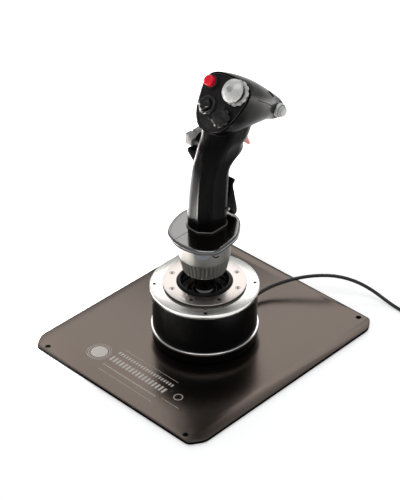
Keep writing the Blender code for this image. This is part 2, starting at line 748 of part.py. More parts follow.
def controls():
    push_button("red_button", face_frame(RED_AT), 0.0056, GAP, 0.0088, "red")
    push_button("nose_button", nose_frame(), 0.0051, 0.0010, 0.0118, "pale")

    ball("trim_hat_pivot", face_frame(TRIM_AT), 0.0033, "steel")
    dome = [(0.0, 0.0176), (0.0020, 0.0172), (0.0074, 0.0142), (0.0113, 0.0114), (0.0124, 0.0102),
            (0.0121, 0.0094), (0.0030, 0.0094), (0.0030, 0.0037), (0.0, 0.0037)]
    placed(turned("trim_hat", dome, "pale", 20, ring=False), face_frame(TRIM_AT))

    ball("left_hat_pivot", face_frame(LEFT_AT), 0.0025, "steel")
    left = [(0.0, 0.0080), (0.0055, 0.0084), (0.0075, 0.0072), (0.0075, 0.0038), (0.0030, 0.0035),
            (0.0025, 0.0029), (0.0, 0.0029)]
    placed(turned("left_hat", left, "black_plastic", 16, ring=False), face_frame(LEFT_AT))

    ball("lower_hat_pivot", face_frame(LOWER_AT), 0.0025, "steel")
    lower = [(0.0, 0.0058), (0.0070, 0.0064), (0.0102, 0.0055), (0.0105, 0.0034), (0.0030, 0.0031),
             (0.0025, 0.0029), (0.0, 0.0029)]
    placed(turned("lower_hat", lower, "black_plastic", 16, ring=False), face_frame(LOWER_AT))

    plunger = turned("side_hat_plunger", [(0.0, 0.0), (0.0042, 0.0), (0.0042, -0.0070), (0.0, -0.0070)],
                     "black_plastic", 16, ring=False)
    placed(plunger, side_frame(-0.0270))
    ball("side_hat_pivot", side_frame(-0.0300), 0.0025, "steel")
    cap = box("side_hat", (-0.0100, -0.0065, 0.0), (0.0100, 0.0065, 0.0060), "grey", 0.0010)
    placed(cap, side_frame(-0.0330))


def yz_frame():
    """Local X to world Y and local Y to world Z, so that an outline is a side view."""
    return Matrix(((0.0, 0.0, 1.0), (1.0, 0.0, 0.0), (0.0, 1.0, 0.0))).to_4x4()


def levers():
    trigger_shape = [(0.0463, 0.2410), (0.0480, 0.2438), (0.0520, 0.2440), (0.0545, 0.2410), (0.0575, 0.2350),
                     (0.0600, 0.2290), (0.0620, 0.2240), (0.0646, 0.2178), (0.0636, 0.2163), (0.0609, 0.2171),
                     (0.0577, 0.2235), (0.0535, 0.2305), (0.0480, 0.2365)]
    trigger = outline_plate("trigger", trigger_shape, TRIGGER_WIDTH, "salmon", yz_frame())
    cut(trigger, hinge_bore("cut_trigger_pin", TRIGGER_PIVOT, 0.01))
    rod("trigger_pin", (-0.0140, *TRIGGER_PIVOT), (0.0140, *TRIGGER_PIVOT), HINGE_PIN_R, "steel", 12)

    paddle_shape = [(0.0210, 0.1620), (0.0290, 0.1660), (0.0335, 0.1740), (0.0345, 0.1820), (0.0372, 0.1865),
                    (0.0405, 0.1845), (0.0395, 0.1815), (0.0378, 0.1800), (0.0378, 0.1760), (0.0392, 0.1700),
                    (0.0415, 0.1585), (0.0434, 0.1490), (0.0430, 0.1425), (0.0388, 0.1415), (0.0345, 0.1470),
                    (0.0305, 0.1520), (0.0210, 0.1550)]
    paddle = outline_plate("paddle_lever", paddle_shape, PADDLE_WIDTH, "black_metal", yz_frame())
    cut(paddle, hinge_bore("cut_paddle_bore", PADDLE_PIVOT, 0.02))
    rod("paddle_pin", (-0.0185, *PADDLE_PIVOT), (0.0125, *PADDLE_PIVOT), HINGE_PIN_R, "steel", 12)
    box("trigger_switch", (-0.006, 0.0345, 0.2240), (0.006, 0.0425, 0.2335), "black_plastic")
    box("paddle_switch", (-0.005, 0.0040, 0.1500), (0.005, 0.0140, 0.1660), "black_plastic")
    box("grip_board", (-0.0090, -0.0030, 0.1700), (-0.0074, 0.0180, 0.2000), "board")


def cable():
    start = (0.0, GLAND_Y, GLAND_Z)
    gland_profile = [(0.0, GLAND_LENGTH - GAP), (0.0028, GLAND_LENGTH - GAP), (0.0038, 0.006),
                     (0.0052, 0.0055), (0.0052, 0.0), (0.0, 0.0)]
    gland = turned("cable_gland", gland_profile, "rubber", 16, ring=False)
    placed(gland, frame_at(Vector(start), Vector((1.0, 0.0, 0.0)), Vector((0.0, 1.0, 0.0))))
    wire("usb_cable", smooth_route(CABLE_ROUTE), CABLE_D / 2, "rubber")
    inner = COIL_MIDDLE_R - COIL_HALF_WIDTH
    outer = COIL_MIDDLE_R + COIL_HALF_WIDTH
    coil = tube("cable_coil", outer, inner, 0.0, COIL_HEIGHT, "rubber", 28)
    coil.location = (*COIL_CENTRE, 0.0)
    usb_plug(COIL_CENTRE[0] + outer - CABLE_D / 2, COIL_CENTRE[1] + PLUG_FROM_COIL)


def plug_block(name, x, y, block, look, bevel=0.0, group="cutters"):
    half_width, start, end, half_height = block
    low = (x - half_width, y + start, PLUG_Z - half_height)
    return box(name, low, (x + half_width, y + end, PLUG_Z + half_height), look, bevel, group)


def usb_plug(x, y):
    """The plug, with its strain relief starting at (x, y) beside the coil."""
    body = plug_block("usb_plug", x, y, PLUG_BODY, "black_plastic", 0.0012, "parts")
    boot_end = y + PLUG_BODY[1] + 0.0010
    boot = rod("plug_boot", (x, y, PLUG_Z), (x, boot_end, PLUG_Z), PLUG_BOOT_R, None, 16, "cutters")
    cut(body, boot, "UNION")
    cut(body, plug_block("plug_tongue", x, y, PLUG_TONGUE, None), "UNION")


def smooth_route(route, per_span=3, closed=False):
    """Points on a smooth curve through the route's points."""
    points = [Vector(place) for place in route]
    if closed:
        padded = [points[-1], *points, points[0], points[1]]
    else:
        padded = [2 * points[0] - points[1], *points, 2 * points[-1] - points[-2]]
    smooth = []
    for before, here, there, after in zip(padded, padded[1:], padded[2:], padded[3:]):
        for k in range(per_span):
            t = k / per_span
            smooth.append(0.5 * (2 * here + (there - before) * t
                                 + (2 * before - 5 * here + 4 * there - after) * t ** 2
                                 + (3 * here - before - 3 * there + after) * t ** 3))
    smooth.append(padded[-2])
    return smooth


clear_scene()
set_finishes()
GROUPS = {"parts": new_collection("flight_joystick"), "cutters": new_collection("cutters")}
base_plate()
round_base()
gimbal()
collar_and_rest()
grip()
face()
bezels()
controls()
levers()
cable()
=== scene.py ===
"""Looks of the flight joystick: camera, materials, fine pieces and studio, in the frame of its CAD model."""
import math

import bmesh
import bpy
from mathutils import Matrix, Vector


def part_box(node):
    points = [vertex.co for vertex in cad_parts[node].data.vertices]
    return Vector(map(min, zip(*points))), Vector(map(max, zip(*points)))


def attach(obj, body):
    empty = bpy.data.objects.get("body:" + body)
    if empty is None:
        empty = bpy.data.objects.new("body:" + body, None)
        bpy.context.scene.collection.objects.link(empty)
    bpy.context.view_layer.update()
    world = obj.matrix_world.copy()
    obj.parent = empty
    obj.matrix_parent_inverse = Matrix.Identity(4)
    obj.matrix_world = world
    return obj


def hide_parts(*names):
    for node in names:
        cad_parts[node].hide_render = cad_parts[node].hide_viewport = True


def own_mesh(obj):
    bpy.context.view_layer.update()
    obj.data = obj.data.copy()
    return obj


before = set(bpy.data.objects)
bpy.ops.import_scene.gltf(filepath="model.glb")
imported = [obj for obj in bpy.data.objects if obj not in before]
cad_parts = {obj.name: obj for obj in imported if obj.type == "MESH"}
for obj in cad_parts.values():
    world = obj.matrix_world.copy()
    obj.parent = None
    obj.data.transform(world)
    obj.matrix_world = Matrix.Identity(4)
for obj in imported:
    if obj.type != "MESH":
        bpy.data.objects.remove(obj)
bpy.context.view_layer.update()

X = Vector((1.0, 0.0, 0.0))
Y = Vector((0.0, 1.0, 0.0))
Z = Vector((0.0, 0.0, 1.0))
STEPS = 128             # sides of a large turned piece
SMALL = 48              # sides of a small one
SHARP = math.radians(34)  # edges sharper than this stay sharp

# ---- camera
VIEW_AZIMUTH = math.radians(44.43)
VIEW_ELEVATION = math.radians(34.706)
VIEW_ROLL = math.radians(-0.405)
VIEW_DISTANCE = 1.850
VIEW_TARGET = Vector((-0.0619, 0.0564, 0.0550))
LENS = 120.1


def make_camera():
    """A camera that looks back along the direction called out, tipped a little about it."""
    out = Vector((math.sin(VIEW_AZIMUTH) * math.cos(VIEW_ELEVATION),
                  -math.cos(VIEW_AZIMUTH) * math.cos(VIEW_ELEVATION),
                  math.sin(VIEW_ELEVATION)))
    right = (-out).cross(Z).normalized()
    up = right.cross(-out)
    across = right * math.cos(VIEW_ROLL) + up * math.sin(VIEW_ROLL)
    along = up * math.cos(VIEW_ROLL) - right * math.sin(VIEW_ROLL)
    data = bpy.data.cameras.new("camera")
    data.sensor_width = 36.0
    data.lens = LENS
    data.clip_start = 0.05
    data.clip_end = 60.0
    camera = bpy.data.objects.new("camera", data)
    bpy.context.scene.collection.objects.link(camera)
    place = Matrix((across, along, out)).transposed().to_4x4()
    place.translation = VIEW_TARGET + out * VIEW_DISTANCE
    camera.matrix_world = place
    bpy.context.scene.camera = camera


# ---- materials
def set_inputs(node, **values):
    """Set a node's sockets by their names, with _ for each space."""
    for key, value in values.items():
        node.inputs[key.replace("_", " ")].default_value = value


def surface(name, colour, metallic=0.0, rough=0.4, spread=0.08, tint=0.12, grain=900.0, bump=0.05,
            stretch=(1.0, 1.0, 1.0), specular=0.5, patch=22.0, ior=1.5):
    """A Principled finish: its colour drifts in patches, its roughness and relief follow a fine grain."""
    material = bpy.data.materials.new(name)
    material.use_nodes = True
    nodes = material.node_tree.nodes
    link = material.node_tree.links.new
    shader = nodes["Principled BSDF"]
    set_inputs(shader, Metallic=metallic, Specular_IOR_Level=specular, IOR=ior)
    where = nodes.new("ShaderNodeTexCoord")
    scaled = nodes.new("ShaderNodeMapping")
    set_inputs(scaled, Scale=stretch)
    link(where.outputs["Object"], scaled.inputs["Vector"])
    fine = nodes.new("ShaderNodeTexNoise")
    set_inputs(fine, Scale=grain, Detail=4.0)
    link(scaled.outputs["Vector"], fine.inputs["Vector"])
    broad = nodes.new("ShaderNodeTexNoise")
    set_inputs(broad, Scale=patch, Detail=3.0)
    link(where.outputs["Object"], broad.inputs["Vector"])
    both = nodes.new("ShaderNodeMix")
    both.data_type = "FLOAT"
    set_inputs(both, Factor=0.45)
    link(broad.outputs["Fac"], both.inputs["A"])
    link(fine.outputs["Fac"], both.inputs["B"])
    ramp = nodes.new("ShaderNodeValToRGB")
    low, high = ramp.color_ramp.elements
    low.position = 0.30
    high.position = 0.70
    low.color = (*[max(c * (1 - tint), 0.0) for c in colour], 1.0)
    high.color = (*[min(c * (1 + tint), 1.0) for c in colour], 1.0)
    link(both.outputs["Result"], ramp.inputs["Fac"])
    link(ramp.outputs["Color"], shader.inputs["Base Color"])
    matte = nodes.new("ShaderNodeMapRange")
    set_inputs(matte, From_Min=0.3, From_Max=0.7, To_Min=max(rough - spread, 0.02),
               To_Max=min(rough + spread, 1.0))
    link(both.outputs["Result"], matte.inputs["Value"])
    link(matte.outputs["Result"], shader.inputs["Roughness"])
    relief = nodes.new("ShaderNodeBump")
    set_inputs(relief, Strength=bump, Distance=0.0004)
    link(fine.outputs["Fac"], relief.inputs["Height"])
    link(relief.outputs["Normal"], shader.inputs["Normal"])
    material.diffuse_color = (*colour, 1.0)
    return material


PLATE = surface("anodised_plate", (0.122, 0.101, 0.089), 1.0, 0.23, 0.02, 0.05, 2400.0, 0.04, patch=9.0)
EDGE = surface("plate_side", (0.0030, 0.0030, 0.0030), 0.0, 0.70, 0.05, 0.20, 900.0, 0.05, specular=0.0)
PAINT = surface("black_paint", (0.0024, 0.0022, 0.0022), 0.0, 0.21, 0.03, 0.20, 1500.0, 0.04, specular=0.05)
FACE = surface("face_paint", (0.0120, 0.0110, 0.0110), 0.0, 0.36, 0.05, 0.20, 1500.0, 0.06, specular=0.25)
GLOSS = surface("gloss_paint", (0.0040, 0.0034, 0.0030), 0.0, 0.13, 0.03, 0.20, 500.0, 0.02, ior=2.6)
# painted highlight: a light grey for thin rims, standing in for the glint along the grip's foot and the
# face's edge
RIM_GLINT = surface("painted_rim_glint", (0.150, 0.142, 0.135), 0.5, 0.36, 0.06, 0.10, 1200.0, 0.05)
# painted shade: the dark of the cover ring's upright side
SIDE = surface("cover_side", (0.060, 0.052, 0.040), 1.0, 0.40, 0.06, 0.10, 1200.0, 0.05)
HOUSING = surface("housing_paint", (0.0018, 0.0018, 0.0019), 0.0, 0.24, 0.03, 0.20, 1800.0, 0.04,
                  specular=0.14)
RING = surface("turned_aluminium", (0.93, 0.92, 0.88), 1.0, 0.25, 0.04, 0.03, 1400.0, 0.03)
COVER = surface("brushed_cover", (0.66, 0.615, 0.590), 1.0, 0.30, 0.05, 0.05, 260.0, 0.10,
                stretch=(0.12, 3.0, 1.0))
BAND = surface("polished_band", (0.86, 0.85, 0.83), 1.0, 0.16, 0.03, 0.04, 900.0, 0.02)
SATIN = surface("bead_blasted", (0.170, 0.165, 0.153), 1.0, 0.40, 0.06, 0.08, 2200.0, 0.18)
STEEL = surface("steel", (0.55, 0.54, 0.53), 1.0, 0.30, 0.06, 0.08, 1500.0, 0.05)
SCREW = surface("screw_steel", (0.60, 0.57, 0.54), 1.0, 0.27, 0.05, 0.05, 1500.0, 0.05)
# painted shade: a darker screw metal for the two front cover screw heads
SHADED_SCREW = surface("screw_painted_shade", (0.075, 0.055, 0.045), 0.8, 0.42, 0.06, 0.15, 1500.0, 0.05)
SOCKET = surface("screw_socket", (0.006, 0.005, 0.004), 0.0, 0.60, 0.08, 0.20, 900.0, 0.05, specular=0.05)
RUBBER = surface("rubber", (0.0060, 0.0055, 0.0055), 0.0, 0.33, 0.06, 0.20, 900.0, 0.06, specular=0.18)
CABLE = surface("cable_skin", (0.012, 0.012, 0.012), 0.0, 0.42, 0.05, 0.20, 700.0, 0.05)
RED = surface("red_plastic", (0.98, 0.008, 0.030), 0.0, 0.22, 0.04, 0.08, 600.0, 0.02, specular=0.45)
SALMON = surface("salmon_plastic", (0.74, 0.245, 0.200), 0.0, 0.36, 0.05, 0.06, 900.0, 0.04)
PALE = surface("pale_plastic", (0.68, 0.68, 0.65), 0.15, 0.30, 0.06, 0.08, 900.0, 0.08)
# painted highlight: the blue-grey of the sheen on the collar under the rest
SHEEN = surface("painted_sheen_blue_grey", (0.20, 0.215, 0.245), 0.6, 0.36, 0.06, 0.10, 900.0, 0.06)
PALE_TIP = surface("pale_tip", (0.40, 0.41, 0.40), 0.2, 0.42, 0.06, 0.10, 900.0, 0.10)
NOSE = surface("nose_cap", (0.62, 0.63, 0.60), 0.2, 0.32, 0.05, 0.08, 900.0, 0.06)
GREY = surface("grey_plastic", (0.270, 0.265, 0.255), 0.0, 0.42, 0.06, 0.10, 1200.0, 0.10)
# painted highlight: a pale grey for the side hat's top bevel, where it catches the light from above
BEVEL_GLINT = surface("painted_bevel_glint", (0.78, 0.76, 0.73), 0.3, 0.36, 0.06, 0.08, 1200.0, 0.05)
DARK = surface("black_plastic", (0.0085, 0.0080, 0.0080), 0.0, 0.34, 0.06, 0.20, 1500.0, 0.08, specular=0.35)
BEZEL = surface("dark_bezel", (0.050, 0.048, 0.047), 0.4, 0.34, 0.06, 0.15, 1500.0, 0.06)
BOARD = surface("circuit_board", (0.02, 0.15, 0.07), 0.0, 0.45, 0.06, 0.15, 1500.0, 0.05)
MARK = surface("plate_print", (0.66, 0.62, 0.57), 0.1, 0.50, 0.05, 0.10, 2500.0, 0.03)
SEAM = surface("seam_shadow", (0.0015, 0.0015, 0.0015), 0.0, 0.70, 0.08, 0.20, 900.0, 0.02, specular=0.2)


# ---- mesh helpers
def smooth(piece):
    """Shade a piece smooth, all but its sharp edges."""
    piece.data.shade_smooth()
    piece.data.set_sharp_from_angle(angle=SHARP)


def add(name, mesh, material, body, replaces=()):
    """Make a mesh a piece of the model, on one body, in place of the CAD nodes it replaces."""
    mesh.name = name
    mesh.materials.clear()
    mesh.materials.append(material)
    piece = bpy.data.objects.new(name, mesh)
    smooth(piece)
    bpy.context.scene.collection.objects.link(piece)
    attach(piece, body)
    if replaces:
        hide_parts(*replaces)
    return piece


def mesh_of(shape):
    """A mesh from a bmesh, with its faces turned outwards."""
    bmesh.ops.recalc_face_normals(shape, faces=shape.faces)
    mesh = bpy.data.meshes.new("piece")
    shape.to_mesh(mesh)
    shape.free()
    return mesh


def stack(rings, closed_loop=False):
    """Join rings of points into a skin, with its ends capped or its last ring joined to its first."""
    shape = bmesh.new()
    levels = [[shape.verts.new(point) for point in ring] for ring in rings]
    pairs = list(zip(levels, levels[1:]))
    if closed_loop:
        pairs.append((levels[-1], levels[0]))
    for lower, upper in pairs:
        for i in range(len(lower)):
            k = (i + 1) % len(lower)
            shape.faces.new((lower[i], lower[k], upper[k], upper[i]))
    if not closed_loop:
        shape.faces.new(levels[0])
        shape.faces.new(levels[-1])
    return mesh_of(shape)


def spin(profile, place=None, sides=SMALL, wave=None, ring=False):
    """Turn (radius, height, amount) points about Z; amount scales how far the wave moves the radius."""
    place = place or Matrix()
    rings = []
    for entry in profile:
        radius, height = entry[0], entry[1]
        amount = entry[2] if len(entry) > 2 else 0.0
        points = []
        for i in range(sides):
            turn = math.tau * i / sides
            reach = max(radius + (amount * wave(turn) if wave and amount else 0.0), 1e-5)
            points.append(place @ Vector((reach * math.cos(turn), reach * math.sin(turn), height)))
        rings.append(points)
    return stack(rings, closed_loop=ring)


def turned(name, profile, material, body, replaces=(), place=None, sides=SMALL, wave=None, ring=False):
    """A piece whose mesh is one turned profile."""
    return add(name, spin(profile, place, sides, wave, ring), material, body, replaces)


def copies(profile, places, sides, ring=False):
    """The same turned mesh at several places."""
    return [spin(profile, place, sides, ring=ring) for place in places]


def join(meshes):
    """One mesh out of several."""
    shape = bmesh.new()
    for mesh in meshes:
        shape.from_mesh(mesh)
        bpy.data.meshes.remove(mesh)
    mesh = bpy.data.meshes.new("piece")
    shape.to_mesh(mesh)
    shape.free()
    return mesh


def frame_at(origin, x_axis, z_axis):
    """A placement with its origin and two of its axes given."""
    z_axis = z_axis.normalized()
    y_axis = z_axis.cross(x_axis).normalized()
    place = Matrix((x_axis, y_axis, z_axis)).transposed().to_4x4()
    place.translation = origin
    return place


def smooth_route(route, per_span=3, closed=False):
    """Points on a smooth curve through the route's points."""
    points = [Vector(place) for place in route]
    if closed:
        padded = [points[-1], *points, points[0], points[1]]
    else:
        padded = [2 * points[0] - points[1], *points, 2 * points[-1] - points[-2]]
    smooth = []
    for before, here, there, after in zip(padded, padded[1:], padded[2:], padded[3:]):
        for k in range(per_span):
            t = k / per_span
            smooth.append(0.5 * (2 * here + (there - before) * t
                                 + (2 * before - 5 * here + 4 * there - after) * t ** 2
                                 + (3 * here - before - 3 * there + after) * t ** 3))
    if not closed:
        smooth.append(padded[-2])
    return smooth


def inset_loop(loop, distance):
    """Move each point of a closed 2-D loop inwards along its normal."""
    area = sum(a.x * b.y - b.x * a.y for a, b in zip(loop, loop[1:] + loop[:1]))
    sign = 1.0 if area > 0 else -1.0
    moved = []
    for i, here in enumerate(loop):
        along = (loop[(i + 1) % len(loop)] - loop[i - 1]).normalized()
        moved.append(here + sign * distance * Vector((-along.y, along.x)))
    return moved


def slab(outline, low, high, edge, place=None):
    """A flat shape between two local heights, with rounded edges."""
    place = place or Matrix()
    loop = [Vector(point) for point in outline]
    levels = [(low, edge), (low + edge * 0.3, edge * 0.3), (low + edge, 0.0),
              (high - edge, 0.0), (high - edge * 0.3, edge * 0.3), (high, edge)]
    rings = [[place @ Vector((p.x, p.y, height)) for p in inset_loop(loop, inset)]
             for height, inset in levels]
    return stack(rings)


def block(low, high, edge=0.0, place=None):
    """A box with rounded upright corners and edges."""
    (x0, y0), (x1, y1) = low[:2], high[:2]
    r = max(edge, 1e-5)
    loop = []
    for cx, cy, start in ((x1 - r, y1 - r, 0), (x0 + r, y1 - r, 90), (x0 + r, y0 + r, 180),
                          (x1 - r, y0 + r, 270)):
        for k in range(4):
            turn = math.radians(start + 30 * k)
            loop.append((cx + r * math.cos(turn), cy + r * math.sin(turn)))
    return slab(loop, low[2], high[2], r * 0.6, place)


def tube_along(points, radius, sides=12):
    """A round bar along a list of points."""
    rings = []
    for i, here in enumerate(points):
        along = (points[min(i + 1, len(points) - 1)] - points[max(i - 1, 0)]).normalized()
        side = along.cross(Z if abs(along.z) < 0.9 else X).normalized()
        up = side.cross(along)
        turns = [math.tau * k / sides for k in range(sides)]
        rings.append([here + radius * (side * math.cos(turn) + up * math.sin(turn)) for turn in turns])
    return stack(rings)


def apply(piece):
    """Turn a piece's modifiers into its mesh."""
    bpy.context.view_layer.update()
    mesh = bpy.data.meshes.new_from_object(piece.evaluated_get(bpy.context.evaluated_depsgraph_get()))
    piece.modifiers.clear()
    piece.data = mesh
    return piece


def scratch(name, mesh):
    """An object that is removed again before the end."""
    piece = bpy.data.objects.new(name, mesh)
    bpy.context.scene.collection.objects.link(piece)
    return piece


def carve(piece, others, operation="DIFFERENCE"):
    """Apply Booleans with scratch meshes, which are removed afterwards."""
    helpers = [scratch(f"{piece.name}_tool_{i}", mesh) for i, mesh in enumerate(others)]
    for helper in helpers:
        change = piece.modifiers.new(helper.name, "BOOLEAN")
        change.object = helper
        change.operation = operation
        change.solver = "EXACT"
    apply(piece)
    for helper in helpers:
        bpy.data.objects.remove(helper)
    return piece


# ---- cable
CABLE_D = 0.004
CABLE_LENGTH = 1.8
CABLE_ROUTE = [
    (0.0000, 0.0781, 0.0110), (0.0004, 0.0860, 0.0114), (0.0030, 0.1000, 0.0135),
    (0.0095, 0.1140, 0.0162), (0.0175, 0.1270, 0.0186), (0.0268, 0.1380, 0.0206),
    (0.0370, 0.1480, 0.0218), (0.0485, 0.1580, 0.0216), (0.0610, 0.1665, 0.0196),
    (0.0745, 0.1735, 0.0157), (0.0880, 0.1785, 0.0103), (0.1000, 0.1808, 0.0057),
    (0.1110, 0.1812, 0.0031), (0.1225, 0.1808, 0.0022), (0.1350, 0.1801, 0.0021),
]
COIL_CENTRE = Vector((0.1580, 0.2130, 0.0))
COIL_TURNS = 10.25
COIL_PITCH = 0.0041
COIL_LOW = 0.0026
COIL_HIGH = 0.0067
COIL_TURN_POINTS = 30
PLUG_START = Vector((0.1920, 0.2335, 0.0046))
TIE_TURNS = (205.0, 320.0)


def coil_points(middle):
    """Two flat layers of turns: inwards on the floor, then outwards on top of them."""
    half = COIL_TURNS / 2
    count = round(COIL_TURNS * COIL_TURN_POINTS)
    points = []
    for i in range(count + 1):
        turns = COIL_TURNS * i / count
        radius = middle + COIL_PITCH * (abs(turns - half) - half / 2)
        step = min(max((turns - half) * 1.6 + 0.5, 0.0), 1.0)
        height = COIL_LOW + (COIL_HIGH - COIL_LOW) * step * step * (3 - 2 * step)
        angle = math.tau * (turns - 0.25)
        points.append(COIL_CENTRE + Vector((radius * math.cos(angle), radius * math.sin(angle), height)))
    return points


def run_length(points):
    return sum((b - a).length for a, b in zip(points, points[1:]))


def cable_points(middle):
    coil = coil_points(middle)
    lead = smooth_route([*CABLE_ROUTE[-2:], coil[0] - X * 0.010 + Z * -0.0004, coil[0] + X * 0.0001], 3)[4:-1]
    tail = [coil[-1] + (PLUG_START - coil[-1]) * t for t in (0.35, 0.70, 1.0)]
    return [*smooth_route(CABLE_ROUTE, 2), *lead, *coil, *tail]


def loop_round(reach, low, high):
    return [(-reach, low), (reach, low), (reach, high), (-reach, high)]


def make_tie(name, middle, degrees):
    """A flat band round the coil's section."""
    turn = math.radians(degrees)
    out = Vector((math.cos(turn), math.sin(turn), 0.0))
    reach = COIL_PITCH * COIL_TURNS / 4 + CABLE_D / 2
    top = COIL_HIGH + CABLE_D / 2
    place = frame_at(COIL_CENTRE + out * middle, out, out.cross(Z).normalized())
    outer = loop_round(reach + 0.0012, 0.0001, top + 0.0006)
    inner = loop_round(reach + 0.0005, 0.0005, top + 0.0001)
    upright = -1.0 if place[2][1] < 0 else 1.0
    rings = [[place @ Vector((x, upright * y, depth)) for x, y in loop]
             for loop, depth in ((outer, -0.0020), (outer, 0.0020), (inner, 0.0020), (inner, -0.0020))]
    return add(name, stack(rings, closed_loop=True), DARK, "base")


def make_cable():
    middle = 0.024
    for _ in range(12):
        middle += (CABLE_LENGTH - run_length(cable_points(middle))) / (math.tau * COIL_TURNS)
    points = cable_points(middle)
    curve = bpy.data.curves.new("usb_cord", "CURVE")
    curve.dimensions = "3D"
    curve.bevel_depth = CABLE_D / 2
    curve.bevel_resolution = 4
    curve.use_fill_caps = True
    spline = curve.splines.new("POLY")
    spline.points.add(len(points) - 1)
    for point, place in zip(spline.points, points):
        point.co = (*place, 1.0)
    spline.use_smooth = True
    curve.materials.append(CABLE)
    cord = bpy.data.objects.new("usb_cord", curve)
    bpy.context.scene.collection.objects.link(cord)
    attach(cord, "base")
    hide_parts("usb_cable", "cable_coil")
    ties = [make_tie(f"cable_tie_{i + 1}", middle, degrees) for i, degrees in enumerate(TIE_TURNS)]
    plug = make_plug()


def make_plug():
    profile = [(0.0001, -0.0002), (0.0024, -0.0002), (0.0026, 0.001), (0.0024, 0.002), (0.0028, 0.003),
               (0.0026, 0.004), (0.0030, 0.005), (0.0028, 0.006), (0.0032, 0.007), (0.0030, 0.008),
               (0.0034, 0.009), (0.0034, 0.0135), (0.0001, 0.0135)]
    place = Matrix.Translation(PLUG_START)
    boot = spin(profile, frame_at(PLUG_START, X, Y), 24)
    body = block((-0.0080, 0.0125, -0.0040), (0.0080, 0.0335, 0.0040), 0.0016, place)
    ribs = []
    for i in range(4):
        start = 0.0165 + 0.0030 * i
        ribs.append(block((-0.0050, start, 0.0036), (0.0050, start + 0.0012, 0.0043), 0.0004, place))
    tongue = block((-0.0060, 0.0330, -0.0023), (0.0060, 0.0455, 0.0023), 0.0004, place)
    add("usb_plug_tongue", tongue, STEEL, "base")
    plug = join([boot, body, *ribs])
    return add("usb_plug_body", plug, DARK, "base", ("usb_plug",))


# ---- base
PLATE_X = 0.2484
PLATE_Y = 0.285
PLATE_LOW = 0.0020
PLATE_TOP = 0.0050
CHAMFER_X = 0.010
CHAMFER_Y = 0.0155
CORNER_R = 0.005
HOLE_X = 0.1037
HOLE_Y = 0.1351
HOLE_R = 0.00315
HOLE_SIDES = 32
CORNERS = ((1, 1), (-1, 1), (-1, -1), (1, -1))
MARK_LOW = 0.00495      # the printed marks stand a hair proud of the plate
MARK_TOP = 0.00506
MARK_RULES = (          # low x, high x, low y, high y
    (-0.0400, 0.0407, -0.0822, -0.0818),
    (-0.0375, 0.0412, -0.1229, -0.1225),
    (0.0453, 0.0704, -0.1116, -0.1112),
)
MARK_TICKS = (          # count, reach each way in x, low y, high y, width of a tick
    (22, 0.0395, -0.0915, -0.0875, 0.0019),
    (17, 0.0390, -0.1050, -0.0972, 0.0026),
    (27, 0.0380, -0.1150, -0.1130, 0.0013),
)
SEAL_AT = Vector((-0.0572, -0.1032, 0.0))
SEAL_RINGS = ((0.0092, 0.0001), (0.0117, 0.0112), (0.0136, 0.0133))
SMALL_RING_AT = Vector((0.0570, -0.0985, 0.0))
RING_SCREW_R = 0.0535   # how far out the four ring screws stand
COVER_SCREW_R = 0.0375  # and the eight cover screws
DARK_SCREWS = (6, 7)    # the two cover screws at the front, painted darker as shade
GLAND_AT = Vector((0.0, 0.0573, 0.0110))


def rounded(corners, radius, steps=8):
    """An outline with a short curve in place of each corner."""
    points = []
    for i, corner in enumerate(corners):
        here = Vector(corner)
        before = (Vector(corners[i - 1]) - here).normalized()
        after = (Vector(corners[(i + 1) % len(corners)]) - here).normalized()
        for k in range(steps + 1):
            t = k / steps
            points.append(here + radius * ((1 - t) ** 2 * before + t ** 2 * after))
    return points


def make_plate():
    half_x = PLATE_X / 2
    half_y = PLATE_Y / 2
    corners = []
    for sx, sy in CORNERS:
        pair = [(sx * half_x, sy * (half_y - CHAMFER_Y)), (sx * (half_x - CHAMFER_X), sy * half_y)]
        corners += pair if sx == sy else pair[::-1]
    outline = rounded(corners, CORNER_R)
    inner = inset_loop(outline, 0.0003)
    sheet = slab(inner, PLATE_LOW, PLATE_TOP, 0.0002)
    plate = add("plate_sheet", sheet, PLATE, "base", ("base_plate",))
    side = [[Vector((p.x, p.y, height)) for p in loop]
            for loop, height in ((inner, 0.0021), (outline, 0.0021), (outline, 0.0047), (inner, 0.00495))]
    add("plate_side", stack(side, closed_loop=True), EDGE, "base")

    spots = [Matrix.Translation((sx * HOLE_X, sy * HOLE_Y, 0.0)) for sx, sy in CORNERS]
    carve(plate, copies([(HOLE_R, 0.0), (HOLE_R, 0.01)], spots, HOLE_SIDES))
    smooth(plate)
    wall = [(HOLE_R - 0.0004, 0.0021), (HOLE_R - 0.0001, 0.0021), (HOLE_R - 0.0001, 0.0049),
            (HOLE_R - 0.0004, 0.0049)]
    floor = [(0.0001, 0.0022), (HOLE_R - 0.0002, 0.0022), (HOLE_R - 0.0002, 0.0025), (0.0001, 0.0025)]
    linings = copies(wall, spots, HOLE_SIDES, ring=True) + copies(floor, spots, HOLE_SIDES)
    add("plate_holes", join(linings), SEAM, "base")


def printed_bar(x0, x1, y0, y1):
    return block((x0, y0, MARK_LOW), (x1, y1, MARK_TOP), 0.00003)


def printed_ring(outer, inner, centre, sides):
    profile = [(outer, MARK_LOW), (outer, MARK_TOP), (inner, MARK_TOP), (inner, MARK_LOW)]
    return spin(profile, Matrix.Translation(centre), sides, ring=True)


def make_marks():
    """Plain rules, ticks and rings, with no lettering."""
    marks = [printed_bar(*rule) for rule in MARK_RULES]
    for count, reach, low, high, width in MARK_TICKS:
        for i in range(count):
            x = -reach + 2 * reach * i / (count - 1)
            marks.append(printed_bar(x - width / 2, x + width / 2, low, high))
    marks += [printed_ring(outer, inner, SEAL_AT, 64) for outer, inner in SEAL_RINGS]
    marks.append(printed_ring(0.0050, 0.0042, SMALL_RING_AT, SMALL))
    add("plate_marks", join(marks), MARK, "base")


def around(count, radius, first_degrees):
    """Places spread evenly round the base's axis."""
    return [Matrix.Rotation(math.radians(first_degrees + 360 * i / count), 4, "Z")
            @ Matrix.Translation((radius, 0.0, 0.0)) for i in range(count)]


